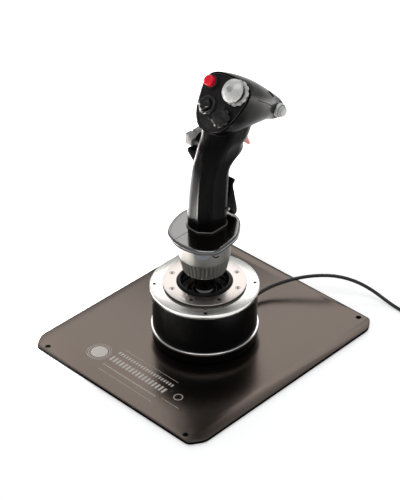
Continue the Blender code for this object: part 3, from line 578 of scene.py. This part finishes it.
def make_housing():
    plinth = [(0.0001, 0.0053), (0.0562, 0.0053), (0.0570, 0.0061), (0.0570, 0.0158), (0.0562, 0.0168),
              (0.0001, 0.0168)]
    turned("plinth", plinth, HOUSING, "base", ("base_plinth",), sides=STEPS)
    band = [(0.0525, 0.0171), (0.0578, 0.0171), (0.0585, 0.0175), (0.0588, 0.0185), (0.0585, 0.0195),
            (0.0578, 0.0199), (0.0525, 0.0199)]
    turned("band", band, BAND, "base", ("trim_band",), sides=STEPS, ring=True)
    wall = [(0.0530, 0.0202), (0.0562, 0.0202), (0.0565, 0.0206), (0.0565, 0.0643), (0.0562, 0.0647),
            (0.0530, 0.0647)]
    turned("housing", wall, HOUSING, "base", ("housing_shell",), sides=STEPS, ring=True)


def make_top_ring():
    profile = [(0.0305, 0.0650), (0.0580, 0.0650), (0.0584, 0.0654), (0.0585, 0.0658), (0.0585, 0.0692),
               (0.0583, 0.0697), (0.0578, 0.0700), (0.0305, 0.0700)]
    ring = turned("outer_ring", profile, RING, "base", ("top_ring",), sides=STEPS, ring=True)
    spots = around(4, RING_SCREW_R, 45.0)
    carve(ring, copies([(0.0018, 0.0682), (0.0018, 0.0712)], spots, 24))
    smooth(ring)
    grub = [(0.0001, 0.0683), (0.0017, 0.0683), (0.0017, 0.0694), (0.0014, 0.0697), (0.0009, 0.0697),
            (0.0009, 0.0687), (0.0001, 0.0687)]
    add("ring_screws", join(copies(grub, spots, 24)), SOCKET, "base")


def make_cover():
    profile = [(0.0298, 0.0703), (0.0444, 0.0703), (0.0448, 0.0707), (0.0448, 0.0733), (0.0446, 0.0737),
               (0.0443, 0.0738), (0.0303, 0.0738), (0.0298, 0.0734)]
    cover = turned("cover_ring", profile, COVER, "base", ("gimbal_cover",), sides=STEPS,
                   ring=True)
    # the cover's upright side, painted dark as shade below its brushed top
    side = [(0.0440, 0.0704), (0.0449, 0.0704), (0.0449, 0.0731), (0.0440, 0.0731)]
    turned("cover_side", side, SIDE, "base", sides=STEPS, ring=True)
    spots = around(8, COVER_SCREW_R, 22.5)
    carve(cover, copies([(0.0020, 0.0716), (0.0029, 0.0745)], spots, 24))
    smooth(cover)
    make_cover_screws(spots)


def make_cover_screws(spots):
    """Countersunk heads, the thin gaps round them and their dark sockets; the gaps, the sockets and the two
    darker front heads are painted shade.
    """
    head = [(0.0010, 0.0726), (0.0010, 0.0735), (0.0022, 0.0736), (0.0024, 0.0733), (0.0020, 0.0718),
            (0.0010, 0.0718)]
    heads = copies(head, spots, 24, ring=True)
    pale = [head for i, head in enumerate(heads) if i not in DARK_SCREWS]
    dark = [heads[i] for i in DARK_SCREWS]
    add("cover_screw_heads", join(pale), SCREW, "base",
        tuple(f"cover_screw_{i + 1}" for i in range(len(spots)) if i not in DARK_SCREWS))
    add("cover_screw_heads_dark", join(dark), SHADED_SCREW, "base",
        tuple(f"cover_screw_{i + 1}" for i in DARK_SCREWS))
    gap = [(0.00235, 0.0737), (0.0028, 0.0737), (0.0028, 0.07385), (0.00235, 0.07385)]
    add("cover_screw_gaps", join(copies(gap, spots, 24, ring=True)), GREY, "base")
    socket = [(0.0001, 0.0719), (0.0012, 0.0719), (0.0012, 0.07365), (0.0001, 0.07365)]
    sockets = join(copies(socket, spots, 6))
    add("cover_screw_sockets", sockets, SOCKET, "base")


def make_lip_and_gland():
    lip = [(0.0252, 0.0690), (0.0293, 0.0690), (0.0293, 0.0744), (0.0289, 0.0755), (0.0281, 0.0761),
           (0.0272, 0.0762), (0.0262, 0.0760), (0.0255, 0.0753), (0.0252, 0.0744)]
    turned("rubber_lip", lip, RUBBER, "base", ("dust_lip",), sides=STEPS, ring=True)
    gland = [(0.0001, 0.0), (0.0052, 0.0), (0.0052, 0.0050), (0.0046, 0.0057), (0.0038, 0.0062),
             (0.0040, 0.0070), (0.0034, 0.0080), (0.0037, 0.0092), (0.0031, 0.0104), (0.0034, 0.0118),
             (0.0028, 0.0132), (0.0031, 0.0146), (0.0026, 0.0160), (0.0028, 0.0202), (0.0001, 0.0202)]
    turned("gland", gland, RUBBER, "base", ("cable_gland",), frame_at(GLAND_AT, X, Y), 32)


def make_base():
    make_housing()
    make_top_ring()
    make_cover()
    make_lip_and_gland()


# ---- spring, stick foot, collar and hand rest
SPRING_R = 0.0165
SPRING_WIRE_R = 0.0012
SPRING_TURNS = 3.5
SPRING_TURN_POINTS = 24
PIVOT_Z = 0.0565
BALL_R = 0.0165
BALL_LOW_TURN = -1.35   # radians below level where the ball's turned part ends
BALL_STEPS = 14
NECK_R = 0.0115
FLUTES = 36
COLLAR_INNER_R = 0.0212
SHEEN_FIRST = -66.0       # degrees round the collar
SHEEN_STEP = 3.1
SHEEN_POINTS = 12
NOTCH_R = 0.02755
REST_BOTTOM = 0.1330
REST_OUTLINE = [
    (0.0368, -0.0060), (0.0335, 0.0135), (0.0255, 0.0268), (0.0130, 0.0402), (-0.0050, 0.0452),
    (-0.0230, 0.0405), (-0.0370, 0.0265), (-0.0418, 0.0090), (-0.0380, -0.0085), (-0.0300, -0.0240),
    (-0.0190, -0.0335), (0.0000, -0.0378), (0.0200, -0.0348), (0.0330, -0.0260), (0.0372, -0.0170),
]


def make_spring():
    """The wire spring under the floating plate, with a mesh of its own. The real spring shortens as the plate
    comes down.
    """
    low, high = (end[2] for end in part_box("main_spring"))
    steps = int(SPRING_TURNS * SPRING_TURN_POINTS)
    points = []
    for i in range(steps + 1):
        turn = math.tau * i / SPRING_TURN_POINTS
        rise = low + SPRING_WIRE_R + (high - low - 2 * SPRING_WIRE_R) * i / steps
        points.append(Vector((SPRING_R * math.cos(turn), SPRING_R * math.sin(turn), rise)))
    wire = tube_along(points, SPRING_WIRE_R, 10)
    spring = add("spring_wire", wire, STEEL, "base", ("main_spring",))
    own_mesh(spring)


def make_stick_foot():
    """The flange, the neck and the ball that turns in the gimbal, in one profile."""
    profile = [(0.0001, 0.0925), (0.0200, 0.0925), (0.0205, 0.0920), (0.0205, 0.0893), (0.0200, 0.0889),
               (0.0170, 0.0880), (0.0135, 0.0862), (0.0118, 0.0840), (NECK_R, 0.0810)]
    high_turn = math.acos(NECK_R / BALL_R)
    for i in range(BALL_STEPS + 1):
        turn = high_turn + (BALL_LOW_TURN - high_turn) * i / BALL_STEPS
        profile.append((BALL_R * math.cos(turn), PIVOT_Z + BALL_R * math.sin(turn)))
    profile += [(0.0030, PIVOT_Z - 0.0160), (0.0030, 0.0345), (0.0001, 0.0345)]
    turned("stick_neck", profile[::-1], GLOSS, "stick", ("stick_hub",), sides=64)


def flute(turn):
    """Flat crowns with round valleys between them."""
    return -(0.5 - 0.5 * math.cos(FLUTES * turn)) ** 1.6


def on_collar(radius, degrees, height):
    turn = math.radians(degrees)
    return Vector((radius * math.cos(turn), radius * math.sin(turn), height))


def make_collar_sheen():
    """A painted highlight on the collar's upper part: a thin curved blue-grey strip with a bowed lower edge.
    """
    bowed = [0.1235 - 0.0042 * math.sin(math.pi * k / (SHEEN_POINTS - 1)) for k in range(SHEEN_POINTS)]
    shape = bmesh.new()
    rows = []
    for heights, reach in ((bowed, 0.0272), (bowed, 0.0278), ([0.1262] * SHEEN_POINTS, 0.0278),
                           ([0.1266] * SHEEN_POINTS, 0.0272)):
        rows.append([shape.verts.new(on_collar(reach, SHEEN_FIRST + SHEEN_STEP * k, height))
                     for k, height in enumerate(heights)])
    for a, b in zip(rows, rows[1:] + rows[:1]):
        for k in range(SHEEN_POINTS - 1):
            shape.faces.new((a[k], a[k + 1], b[k + 1], b[k]))
    shape.faces.new([row[0] for row in rows])
    shape.faces.new([row[-1] for row in rows])
    add("collar_sheen", mesh_of(shape), SHEEN, "collar")


def make_collar():
    # radius, height and, on the knurled part, how deep the flutes are
    profile = [(COLLAR_INNER_R, 0.0908), (0.0228, 0.0908), (0.0234, 0.0912, 0.0010), (0.0241, 0.0935, 0.0017),
               (0.0252, 0.0985, 0.0018), (0.0262, 0.1035, 0.0018), (0.0269, 0.1070, 0.0017),
               (0.0272, 0.1086, 0.0006), (0.0274, 0.1093), (0.0275, 0.1110), (0.0275, 0.1265),
               (0.0272, 0.1280), (0.0265, 0.1288), (0.0255, 0.1290), (0.0235, 0.1290), (0.0232, 0.1284),
               (COLLAR_INNER_R, 0.1284)]
    turned("collar", profile, SATIN, "collar", ("locking_collar",), sides=FLUTES * 10,
           wave=flute, ring=True)
    make_collar_sheen()
    hook = [on_collar(NOTCH_R, degrees, height) for degrees, height in
            ((-27, 0.1240), (-26, 0.1222), (-22, 0.1208), (-17, 0.1204), (-13, 0.1212))]
    notch = tube_along(smooth_route(hook, 4), 0.0006, 8)
    add("collar_notch", notch, SEAM, "collar")
    socket = [(0.0120, 0.0929), (0.0205, 0.0929), (0.0205, 0.1322), (0.0200, 0.1327), (0.0120, 0.1327)]
    turned("socket", socket, HOUSING, "stick", ("grip_socket",), sides=64, ring=True)


def make_rest():
    loop = [point.xy for point in smooth_route([(x, y, 0.0) for x, y in REST_OUTLINE], 8, True)]
    # height above the underside, and how far the outline is drawn in there
    levels = [(0.0000, 0.0024), (0.0004, 0.0010), (0.0014, 0.0002), (0.0022, 0.0000), (0.0028, 0.0006),
              (0.0034, 0.0000), (0.0046, 0.0002), (0.0055, 0.0009), (0.0060, 0.0022), (0.0060, 0.0034),
              (0.0057, 0.0038)]
    rings = [[Vector((p.x, p.y, REST_BOTTOM + height)) for p in inset_loop(loop, inset)]
             for height, inset in levels]
    rest = add("rest", stack(rings), GLOSS, "stick", ("hand_rest",))
    carve(rest, [block((-0.0098, -0.0500, 0.1200), (-0.0092, -0.0020, 0.1500), 0.0001)])
    smooth(rest)


# ---- grip
HANDLE = [  # height, back y, front y, centre x, half width, corner power
    (0.1393, -0.0098, 0.0287, -0.0053, 0.0170, 3.0),
    (0.1550, -0.0098, 0.0297, -0.0053, 0.0170, 3.0),
    (0.1750, -0.0092, 0.0307, -0.0050, 0.0168, 3.0),
    (0.1920, -0.0078, 0.0315, -0.0046, 0.0166, 3.0),
    (0.2050, -0.0060, 0.0330, -0.0040, 0.0166, 2.9),
    (0.2130, -0.0042, 0.0410, -0.0035, 0.0168, 2.8),
    (0.2200, -0.0022, 0.0520, -0.0028, 0.0170, 2.8),
    (0.2300, 0.0012, 0.0505, -0.0015, 0.0178, 2.8),
    (0.2400, 0.0050, 0.0565, 0.0, 0.0190, 2.8),
    (0.2540, 0.0095, 0.0600, 0.0, 0.0205, 2.6),
    (0.2620, 0.0140, 0.0560, 0.0, 0.0190, 2.4),
]
HEAD = [  # top (y, z), bottom (y, z), half width, corner power, widening
    ((0.0420, 0.3030), (0.0030, 0.2550), 0.0285, 3.0, 0.25),
    ((0.0535, 0.2980), (0.0220, 0.2460), 0.0275, 2.6, 0.18),
    ((0.0680, 0.2887), (0.0450, 0.2430), 0.0250, 2.3, 0.10),
    ((0.0840, 0.2755), (0.0680, 0.2395), 0.0200, 2.1, 0.05),
    ((0.0985, 0.2625), (0.0850, 0.2360), 0.0145, 2.0, 0.0),
    ((0.1105, 0.2510), (0.1000, 0.2300), 0.0110, 2.0, 0.0),
    ((0.1148, 0.2440), (0.1080, 0.2315), 0.0085, 2.0, 0.0),
    ((0.1165, 0.2395), (0.1135, 0.2345), 0.0045, 2.0, 0.0),
]
CREASE_Y = -0.0005      # the sharp line down the right of the handle: its place low down
CREASE_BEND = 0.2080    # the height round which it starts to lean forward
CREASE_BLEND = 0.0120   # how gently it does so
CREASE_LEAN = 0.48      # how far forward it runs for each step up, near the head
GRIP_POINTS = 120
VOXEL = 0.0008
FACE_TOP = Vector((0.0, *HEAD[0][0]))
FACE_BOTTOM = Vector((0.0, *HEAD[0][1]))
FACE_CENTRE = (FACE_TOP + FACE_BOTTOM) / 2
FACE_UP = (FACE_TOP - FACE_BOTTOM).normalized()
FACE_OUT = X.cross(FACE_UP)
RED_AT = (-0.0200, 0.0169)
TRIM_AT = (0.0150, 0.0171)
LEFT_AT = (-0.0130, -0.0059)
LOWER_AT = (0.0120, -0.0116)
NOSE_AT = Vector((0.0095, 0.0975, 0.2463))
SIDE_HAT = Vector((0.0, 0.0222, 0.2275))


def superellipse(half_x, half_y, power, count, widening=0.0):
    points = []
    for i in range(count):
        turn = math.tau * i / count
        x = math.copysign(abs(math.cos(turn)) ** (2 / power), math.cos(turn))
        y = math.copysign(abs(math.sin(turn)) ** (2 / power), math.sin(turn))
        points.append((half_x * x * (1 + widening * y), half_y * y))
    return points


def between(rows, per_span):
    """Rows of numbers with smooth rows added between them."""
    before_first = [2 * a - b for a, b in zip(rows[0], rows[1])]
    after_last = [2 * a - b for a, b in zip(rows[-1], rows[-2])]
    padded = [before_first, *rows, after_last]
    fine = []
    for before, here, there, after in zip(padded, padded[1:], padded[2:], padded[3:]):
        for k in range(per_span):
            t = k / per_span
            fine.append([0.5 * (2 * b + (c - a) * t + (2 * a - 5 * b + 4 * c - d) * t * t
                                + (3 * b - a - 3 * c + d) * t ** 3)
                         for a, b, c, d in zip(before, here, there, after)])
    fine.append(list(rows[-1]))
    return fine


def crease_y(height):
    """Upright low down, then a smooth bend into a straight lean."""
    rise = (height - CREASE_BEND) / CREASE_BLEND
    return CREASE_Y + CREASE_LEAN * CREASE_BLEND * math.log1p(math.exp(rise))


def handle_loop(row, grow=0.0):
    height, back, front, middle, half_width, power = row
    right = middle + half_width - 0.0005 + grow
    corner = crease_y(height)
    start_y = back - grow
    loop = []
    for x, y in superellipse(half_width + grow, (front - back) / 2 + grow, power, GRIP_POINTS):
        x = min(middle + x, right)
        y += (front + back) / 2
        if x > 0.0:
            y = max(y, start_y + (corner - start_y) * min(x / right, 1.0))
        loop.append(Vector((x, y, height)))
    return loop


def head_ring(row):
    top_y, top_z, bottom_y, bottom_z, half_width, power, widening = row
    up = Vector((0.0, top_y - bottom_y, top_z - bottom_z))
    middle = Vector((0.0, (top_y + bottom_y) / 2, (top_z + bottom_z) / 2))
    return [middle + X * x + y * up.normalized()
            for x, y in superellipse(half_width, up.length / 2, power, GRIP_POINTS, widening)]


def face_frame(at=(0.0, 0.0), out=0.0):
    return frame_at(FACE_CENTRE + X * at[0] + FACE_UP * at[1] + FACE_OUT * out, X, FACE_OUT)


def face_loop(inset):
    half_height = (FACE_TOP - FACE_BOTTOM).length / 2
    return superellipse(HEAD[0][2] - inset, half_height - inset, HEAD[0][3], GRIP_POINTS, HEAD[0][4])


def yz_frame():
    """Local X to world Y and local Y to world Z, so that an outline is a side view."""
    return Matrix(((0.0, 0.0, 1.0), (1.0, 0.0, 0.0), (0.0, 1.0, 0.0))).to_4x4()


def side_hat_frame(x):
    """Local Z runs inwards from the given x, along the side hat's axis."""
    return frame_at(Vector((x, SIDE_HAT.y, SIDE_HAT.z)), Y, X)


def make_grip():
    head_rows = between([(*top, *bottom, half, power, widening)
                         for top, bottom, half, power, widening in HEAD], 5)
    grip = scratch("grip", stack([head_ring(row) for row in head_rows]))
    carve(grip, [stack([handle_loop(row) for row in between(HANDLE, 4)])], "UNION")
    carve(grip, [
        block((-0.0053, 0.0440, 0.2143), (0.0053, 0.0695, 0.2450), 0.0004),
        block((-0.0068, 0.0160, 0.1490), (0.0068, 0.0450, 0.1745), 0.0004),
        slab(face_loop(0.0021), -0.0030, 0.0030, 0.0001, face_frame()),
        spin([(0.0050, 0.0), (0.0050, 0.0240)], side_hat_frame(-0.0320), 32),
        spin([(0.0077, -0.0025), (0.0077, 0.0200)], frame_at(NOSE_AT, Y, X)),
    ])
    remesh = grip.modifiers.new("Remesh", "REMESH")
    remesh.mode = "VOXEL"
    remesh.voxel_size = VOXEL
    remesh.use_smooth_shade = True
    soften = grip.modifiers.new("Soften", "SMOOTH")
    soften.factor = 0.5
    soften.iterations = 4
    apply(grip)
    mesh = grip.data
    bpy.data.objects.remove(grip)
    body = add("grip_body", mesh, PAINT, "stick", ("grip_shell_left", "grip_shell_right"))
    body.data.shade_smooth()


def on_grip(places, direction, reach, sink=0.0):
    """Where lines from outside, towards the given places, meet the skin of the grip."""
    body = bpy.data.objects["grip_body"]
    spots = []
    for place in places:
        hit, spot, *_ = body.ray_cast(place + direction * reach, -direction.normalized())
        if hit:
            spots.append(spot - direction * sink)
    return spots


def make_foot_lip():
    # a thin rim round the grip's foot, its light grey a painted highlight
    lip = [[Vector((p.x, p.y, height)) for p in handle_loop(HANDLE[0], grow)] for height, grow in
           ((0.13925, 0.0002), (0.13925, 0.0011), (0.1398, 0.0012), (0.1403, 0.0006), (0.1404, 0.0001))]
    add("grip_foot_lip", stack(lip), RIM_GLINT, "stick")


def make_grip_lines():
    """The seam along the head's right side and the short groove near its nose."""
    seam = smooth_route([(0.0, 0.0497, 0.2830), (0.0, 0.0660, 0.2712), (0.0, 0.0860, 0.2559)], 6)
    groove = [Vector((0.0098, 0.0858, 0.2716)), Vector((0.0108, 0.0880, 0.2684)),
              Vector((0.0118, 0.0902, 0.2650))]
    groove = smooth_route(on_grip(groove, X + Z, 0.05), 4)
    add("head_groove", tube_along(groove, 0.0011, 10), SEAM, "stick")
    seam = on_grip(seam, X, 0.06, 0.00015)
    add("side_seam", tube_along(seam, 0.0004, 8), SEAM, "stick")


def make_face_cover():
    plate = slab(face_loop(0.0029), -0.0024, -0.0004, 0.0003, face_frame())
    cover = add("face_cover", plate, FACE, "stick", ("face_plate",))
    holes = ((RED_AT, 0.0061), (TRIM_AT, 0.0072), (LEFT_AT, 0.0058), (LOWER_AT, 0.0058))
    carve(cover, [spin([(radius, -0.004), (radius, 0.002)], face_frame(at)) for at, radius in holes])
    smooth(cover)
    # a thin rim round the face, its light grey a painted highlight
    rim = [[face_frame() @ Vector((x, y, height)) for x, y in face_loop(inset)] for height, inset in
           ((-0.0006, 0.0023), (0.0001, 0.0023), (0.0001, 0.0019), (-0.0006, 0.0019))]
    add("face_rim", stack(rim, closed_loop=True), RIM_GLINT, "stick")


def make_grip_details():
    make_foot_lip()
    make_grip_lines()
    make_face_cover()


# ---- buttons and hats
def dome(radius, bottom, top, crown):
    """A push button's profile, from its foot up to a gently crowned top."""
    edge = radius * crown
    profile = [(0.0001, bottom), (radius, bottom), (radius, top - edge)]
    for k in range(1, 8):
        turn = math.pi / 2 * k / 8
        profile.append((radius - edge + edge * math.cos(turn), top - edge + 0.92 * edge * math.sin(turn)))
    profile.append((0.0001, top))
    return profile


def teeth(count, sharpness=6.0):
    """A castellated wave: 0 on the crowns and -1 in the gaps."""
    def wave(turn):
        return -1.0 / (1.0 + math.exp(-sharpness * (math.cos(count * turn) - 0.35)))
    return wave


def lobes(count):
    def wave(turn):
        return math.cos(count * turn)
    return wave


def make_red_button():
    red = face_frame(RED_AT)
    cap = dome(0.0056, 0.0003, 0.0088, 0.32)
    turned("red_cap", cap, RED, "red_button", ("red_button",), red)
    collar = [(0.0060, 0.0003), (0.0072, 0.0003), (0.0072, 0.0024), (0.0069, 0.0030), (0.0063, 0.0030),
              (0.0060, 0.0026)]
    turned("red_collar", collar, BEZEL, "stick", ("red_button_bezel",), red, ring=True)


def make_trim_hat():
    trim = face_frame(TRIM_AT)
    collar = [(0.0092, 0.0003), (0.0128, 0.0003, 0.0004), (0.0136, 0.0008, 0.0019), (0.0136, 0.0028, 0.0019),
              (0.0133, 0.0034, 0.0018), (0.0126, 0.0036, 0.0006), (0.0096, 0.0036), (0.0092, 0.0030)]
    turned("trim_collar", collar, PALE, "stick", ("trim_hat_bezel",), trim, 192, teeth(12),
           ring=True)
    shade = [(0.0085, 0.0036), (0.0105, 0.0036), (0.0105, 0.0060), (0.0085, 0.0060)]
    turned("trim_shade", shade, DARK, "stick", (), trim, 64, ring=True)
    cap = [(0.0001, 0.0037), (0.0030, 0.0037), (0.0030, 0.0084), (0.0110, 0.0090), (0.0119, 0.0094),
           (0.0124, 0.0100), (0.0123, 0.0107), (0.0116, 0.0116), (0.0102, 0.0127), (0.0086, 0.0137),
           (0.0068, 0.0147), (0.0050, 0.0155), (0.0036, 0.0160), (0.0001, 0.0160)]
    turned("trim_dome", cap, PALE, "trim_hat", ("trim_hat",), trim, 96)
    nub = [(0.0001, 0.0158), (0.0034, 0.0158), (0.0033, 0.0166), (0.0026, 0.0173), (0.0014, 0.0176),
           (0.0001, 0.0177)]
    turned("trim_nub", nub, PALE_TIP, "trim_hat", (), trim, 32)


def make_left_hat():
    left = face_frame(LEFT_AT)
    collar = [(0.0066, 0.0003), (0.0098, 0.0003), (0.0098, 0.0014), (0.0092, 0.0020), (0.0086, 0.0017),
              (0.0080, 0.0017), (0.0076, 0.0022), (0.0069, 0.0022), (0.0066, 0.0018)]
    turned("left_collar", collar, BEZEL, "stick", ("left_hat_bezel",), left, 64, ring=True)
    cap = [(0.0001, 0.0029), (0.0025, 0.0029), (0.0030, 0.0035), (0.0066, 0.0038, 0.0009),
           (0.0068, 0.0064, 0.0009), (0.0056, 0.0077, 0.0010), (0.0030, 0.0082, 0.0006),
           (0.0024, 0.0083, 0.0004), (0.0014, 0.0078), (0.0001, 0.0077)]
    turned("left_cap", cap, DARK, "left_hat", ("left_hat",), left, 64, lobes(4))


def make_lower_hat():
    cap = [(0.0001, 0.0029), (0.0025, 0.0029), (0.0030, 0.0031), (0.0100, 0.0034, 0.0014),
           (0.0105, 0.0040, 0.0016), (0.0103, 0.0052, 0.0016), (0.0094, 0.0060, 0.0010), (0.0080, 0.0063),
           (0.0066, 0.0064), (0.0056, 0.0058), (0.0044, 0.0056), (0.0036, 0.0062), (0.0020, 0.0064),
           (0.0001, 0.0064)]
    lower = face_frame(LOWER_AT)
    turned("lower_cap", cap, DARK, "lower_hat", ("lower_hat",), lower, 160, teeth(9))
    radius = 0.0030
    arc = [face_frame((-0.0030, -0.0150), 0.0004) @ Vector((radius * math.cos(t), radius * math.sin(t), 0.0))
           for t in (math.radians(50 + 260 * k / 24) for k in range(25))]
    add("small_arc", tube_along(arc, 0.0005, 8), BEZEL, "stick")


def make_nose_button():
    nose = frame_at(NOSE_AT, Y, X)
    wide = [(0.0056, -0.0020), (0.0075, -0.0020), (0.0075, 0.0066), (0.0071, 0.0072), (0.0056, 0.0072)]
    narrow = [(0.0054, 0.0072), (0.0062, 0.0074), (0.0062, 0.0086), (0.0059, 0.0090), (0.0054, 0.0090)]
    rings = [spin(profile, nose, 64, ring=True) for profile in (wide, narrow)]
    add("nose_rings", join(rings), PALE, "stick", ("nose_bezel",))
    low = [(0.0070, 0.0020), (0.00765, 0.0020), (0.00765, 0.0032), (0.0070, 0.0032)]
    high = [(0.0056, 0.00725), (0.0066, 0.00725), (0.0066, 0.0076), (0.0056, 0.0076)]
    grooves = [spin(profile, nose, 64, ring=True) for profile in (low, high)]
    add("nose_grooves", join(grooves), SEAM, "stick")
    turned("nose_cap_piece", dome(0.0051, 0.0010, 0.0118, 0.40), NOSE, "nose_button",
           ("nose_button",), nose)


def cap_notch(half_width, top):
    """A cutter for the V in the top of the side hat's cap."""
    outline = [(-half_width, top), (half_width, top), (0.0, 0.2312)]
    return slab(outline, -0.045, -0.025, 0.0001, frame_at(Vector((0.0, SIDE_HAT.y, 0.0)), Y, X))


def make_side_hat():
    tube = [(0.0055, 0.0), (0.0084, 0.0), (0.0088, 0.0004), (0.0088, 0.0145), (0.0055, 0.0145)]
    boss = spin(tube, side_hat_frame(-0.0265), ring=True)
    fairing = [(-0.0165, 0.2195), (-0.0335, 0.2195), (-0.0335, 0.2155), (-0.0225, 0.2040), (-0.0165, 0.2040)]
    arm = slab(fairing, -0.0110, 0.0110, 0.0006, frame_at(Vector((0.0, 0.0205, 0.0)), X, -Y))
    housing = join([boss, arm])
    add("side_housing", housing, PAINT, "stick", ("side_hat_housing",))

    across = frame_at(Vector((0.0, SIDE_HAT.y, 0.0)), X, -Y)
    outline = [(-0.0298, 0.2214), (-0.0385, 0.2214), (-0.0390, 0.2220), (-0.0390, 0.2334), (-0.0386, 0.2340),
               (-0.0334, 0.2340), (-0.0298, 0.2296)]
    cap = slab(outline, -0.0100, 0.0100, 0.0006, across)
    cap = add("side_cap", cap, GREY, "side_hat", ("side_hat",))
    carve(cap, [cap_notch(0.0026, 0.2350)])
    smooth(cap)
    # a strip along the cap's top bevel, painted pale as a highlight
    band = [(-0.0295, 0.2298), (-0.0299, 0.2294), (-0.0336, 0.2339), (-0.0332, 0.2343)]
    strip = slab(band, -0.0094, 0.0094, 0.0001, across)
    strip = add("side_cap_edge", strip, BEVEL_GLINT, "side_hat")
    carve(strip, [cap_notch(0.0028, 0.2355)])


# ---- trigger and paddle
TRIGGER_OUTLINE = [
    (0.0463, 0.2410), (0.0480, 0.2438), (0.0520, 0.2440), (0.0545, 0.2410), (0.0575, 0.2350),
    (0.0600, 0.2290), (0.0620, 0.2240), (0.0646, 0.2178), (0.0636, 0.2163), (0.0609, 0.2171),
    (0.0577, 0.2235), (0.0535, 0.2305), (0.0480, 0.2365),
]
PADDLE_OUTLINE = [
    (0.0210, 0.1620), (0.0290, 0.1660), (0.0335, 0.1740), (0.0345, 0.1820), (0.0372, 0.1865),
    (0.0405, 0.1845), (0.0395, 0.1815), (0.0378, 0.1800), (0.0378, 0.1760), (0.0392, 0.1700),
    (0.0415, 0.1585), (0.0434, 0.1490), (0.0430, 0.1425), (0.0388, 0.1415), (0.0345, 0.1470),
    (0.0305, 0.1520), (0.0210, 0.1550),
]


def lever(outline, half_width, edge):
    """A blade between two heights in x, whose smoothed outline is a side view."""
    loop = [point.xy for point in smooth_route([(y, z, 0.0) for y, z in outline], 4, True)]
    return slab(loop, -half_width, half_width, edge, yz_frame())


def make_levers():
    trigger = lever(TRIGGER_OUTLINE, 0.0045, 0.0010)
    add("trigger_blade", trigger, SALMON, "trigger", ("trigger",))
    paddle = lever(PADDLE_OUTLINE, 0.0060, 0.0009)
    add("paddle_blade", paddle, PAINT, "paddle", ("paddle_lever",))


def make_controls():
    make_red_button()
    make_trim_hat()
    make_left_hat()
    make_lower_hat()
    make_nose_button()
    make_side_hat()
    make_levers()


# ---- finishes of the CAD nodes that stay
KEPT = {
    "foot": RUBBER, "gimbal_frame": SATIN, "gimbal_ring": STEEL, "spring_plate": STEEL,
    "sensor_board": BOARD, "grip_plug": DARK, "side_hat_pivot": STEEL,
    "side_hat_plunger": DARK, "trigger_pin": STEEL, "paddle_pin": STEEL, "trigger_switch": DARK,
    "paddle_switch": DARK, "grip_board": BOARD, "face_board": BOARD, "trim_hat_pivot": STEEL,
    "left_hat_pivot": STEEL, "lower_hat_pivot": STEEL,
}


def finish_nodes():
    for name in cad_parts:
        node = bpy.data.objects[name]
        for key, material in KEPT.items():
            if name.startswith(key):
                node.material_slots[0].material = material


# ---- studio
def panel(name, place, aim, width, height, power, colour=(1.0, 1.0, 1.0), spread=180.0):
    data = bpy.data.lights.new(name, "AREA")
    data.shape = "RECTANGLE"
    data.size = width
    data.size_y = height
    data.energy = power
    data.spread = math.radians(spread)
    data.color = colour
    light = bpy.data.objects.new(name, data)
    bpy.context.scene.collection.objects.link(light)
    light.location = place
    light.rotation_mode = "QUATERNION"
    light.rotation_quaternion = (Vector(aim) - Vector(place)).to_track_quat("-Z", "Y")


def make_studio():
    world = bpy.data.worlds.new("studio")
    world.use_nodes = True
    sky = world.node_tree.nodes["Background"]
    sky.inputs["Color"].default_value = (0.95, 0.97, 1.0, 1.0)
    sky.inputs["Strength"].default_value = 0.38
    bpy.context.scene.world = world

    size = 8.0
    mesh = bpy.data.meshes.new("floor")
    mesh.from_pydata([(-size, -size, 0.0), (size, -size, 0.0), (size, size, 0.0), (-size, size, 0.0)], [],
                     [(0, 1, 2, 3)])
    floor = bpy.data.objects.new("floor", mesh)
    bpy.context.scene.collection.objects.link(floor)
    paper = surface("studio_paper", (0.86, 0.86, 0.86), 0.0, 0.80, 0.05, 0.01, 60.0, 0.0, specular=0.1)
    shader = paper.node_tree.nodes["Principled BSDF"]
    shader.inputs["Emission Color"].default_value = (1.0, 1.0, 1.0, 1.0)
    shader.inputs["Emission Strength"].default_value = 0.48
    mesh.materials.append(paper)

    panel("back_panel", (-1.8, 1.9, 1.9), (0.0, 0.0, 0.1), 2.6, 1.5, 18.0, (1.0, 0.96, 0.92))
    panel("left_pool", (-0.52, -0.05, 0.80), (-0.52, -0.05, 0.0), 0.30, 0.45, 30.0, (1.0, 0.95, 0.92), 45.0)
    panel("front_pool", (-0.12, -0.32, 0.45), (-0.12, -0.32, 0.0), 0.05, 0.25, 9.0, (1.0, 0.97, 0.93), 25.0)
    panel("rear_pool", (0.05, 0.66, 0.80), (0.05, 0.66, 0.0), 0.50, 0.30, 3.0, (1.0, 0.97, 0.92), 45.0)
    panel("top_panel", (0.2, -0.2, 2.4), (0.0, 0.0, 0.1), 1.6, 1.6, 14.0)
    bpy.context.scene.view_settings.view_transform = "Standard"


make_camera()
make_cable()
make_plate()
make_marks()
make_base()
make_spring()
make_stick_foot()
make_collar()
make_rest()
make_grip()
make_grip_details()
make_controls()
finish_nodes()
make_studio()
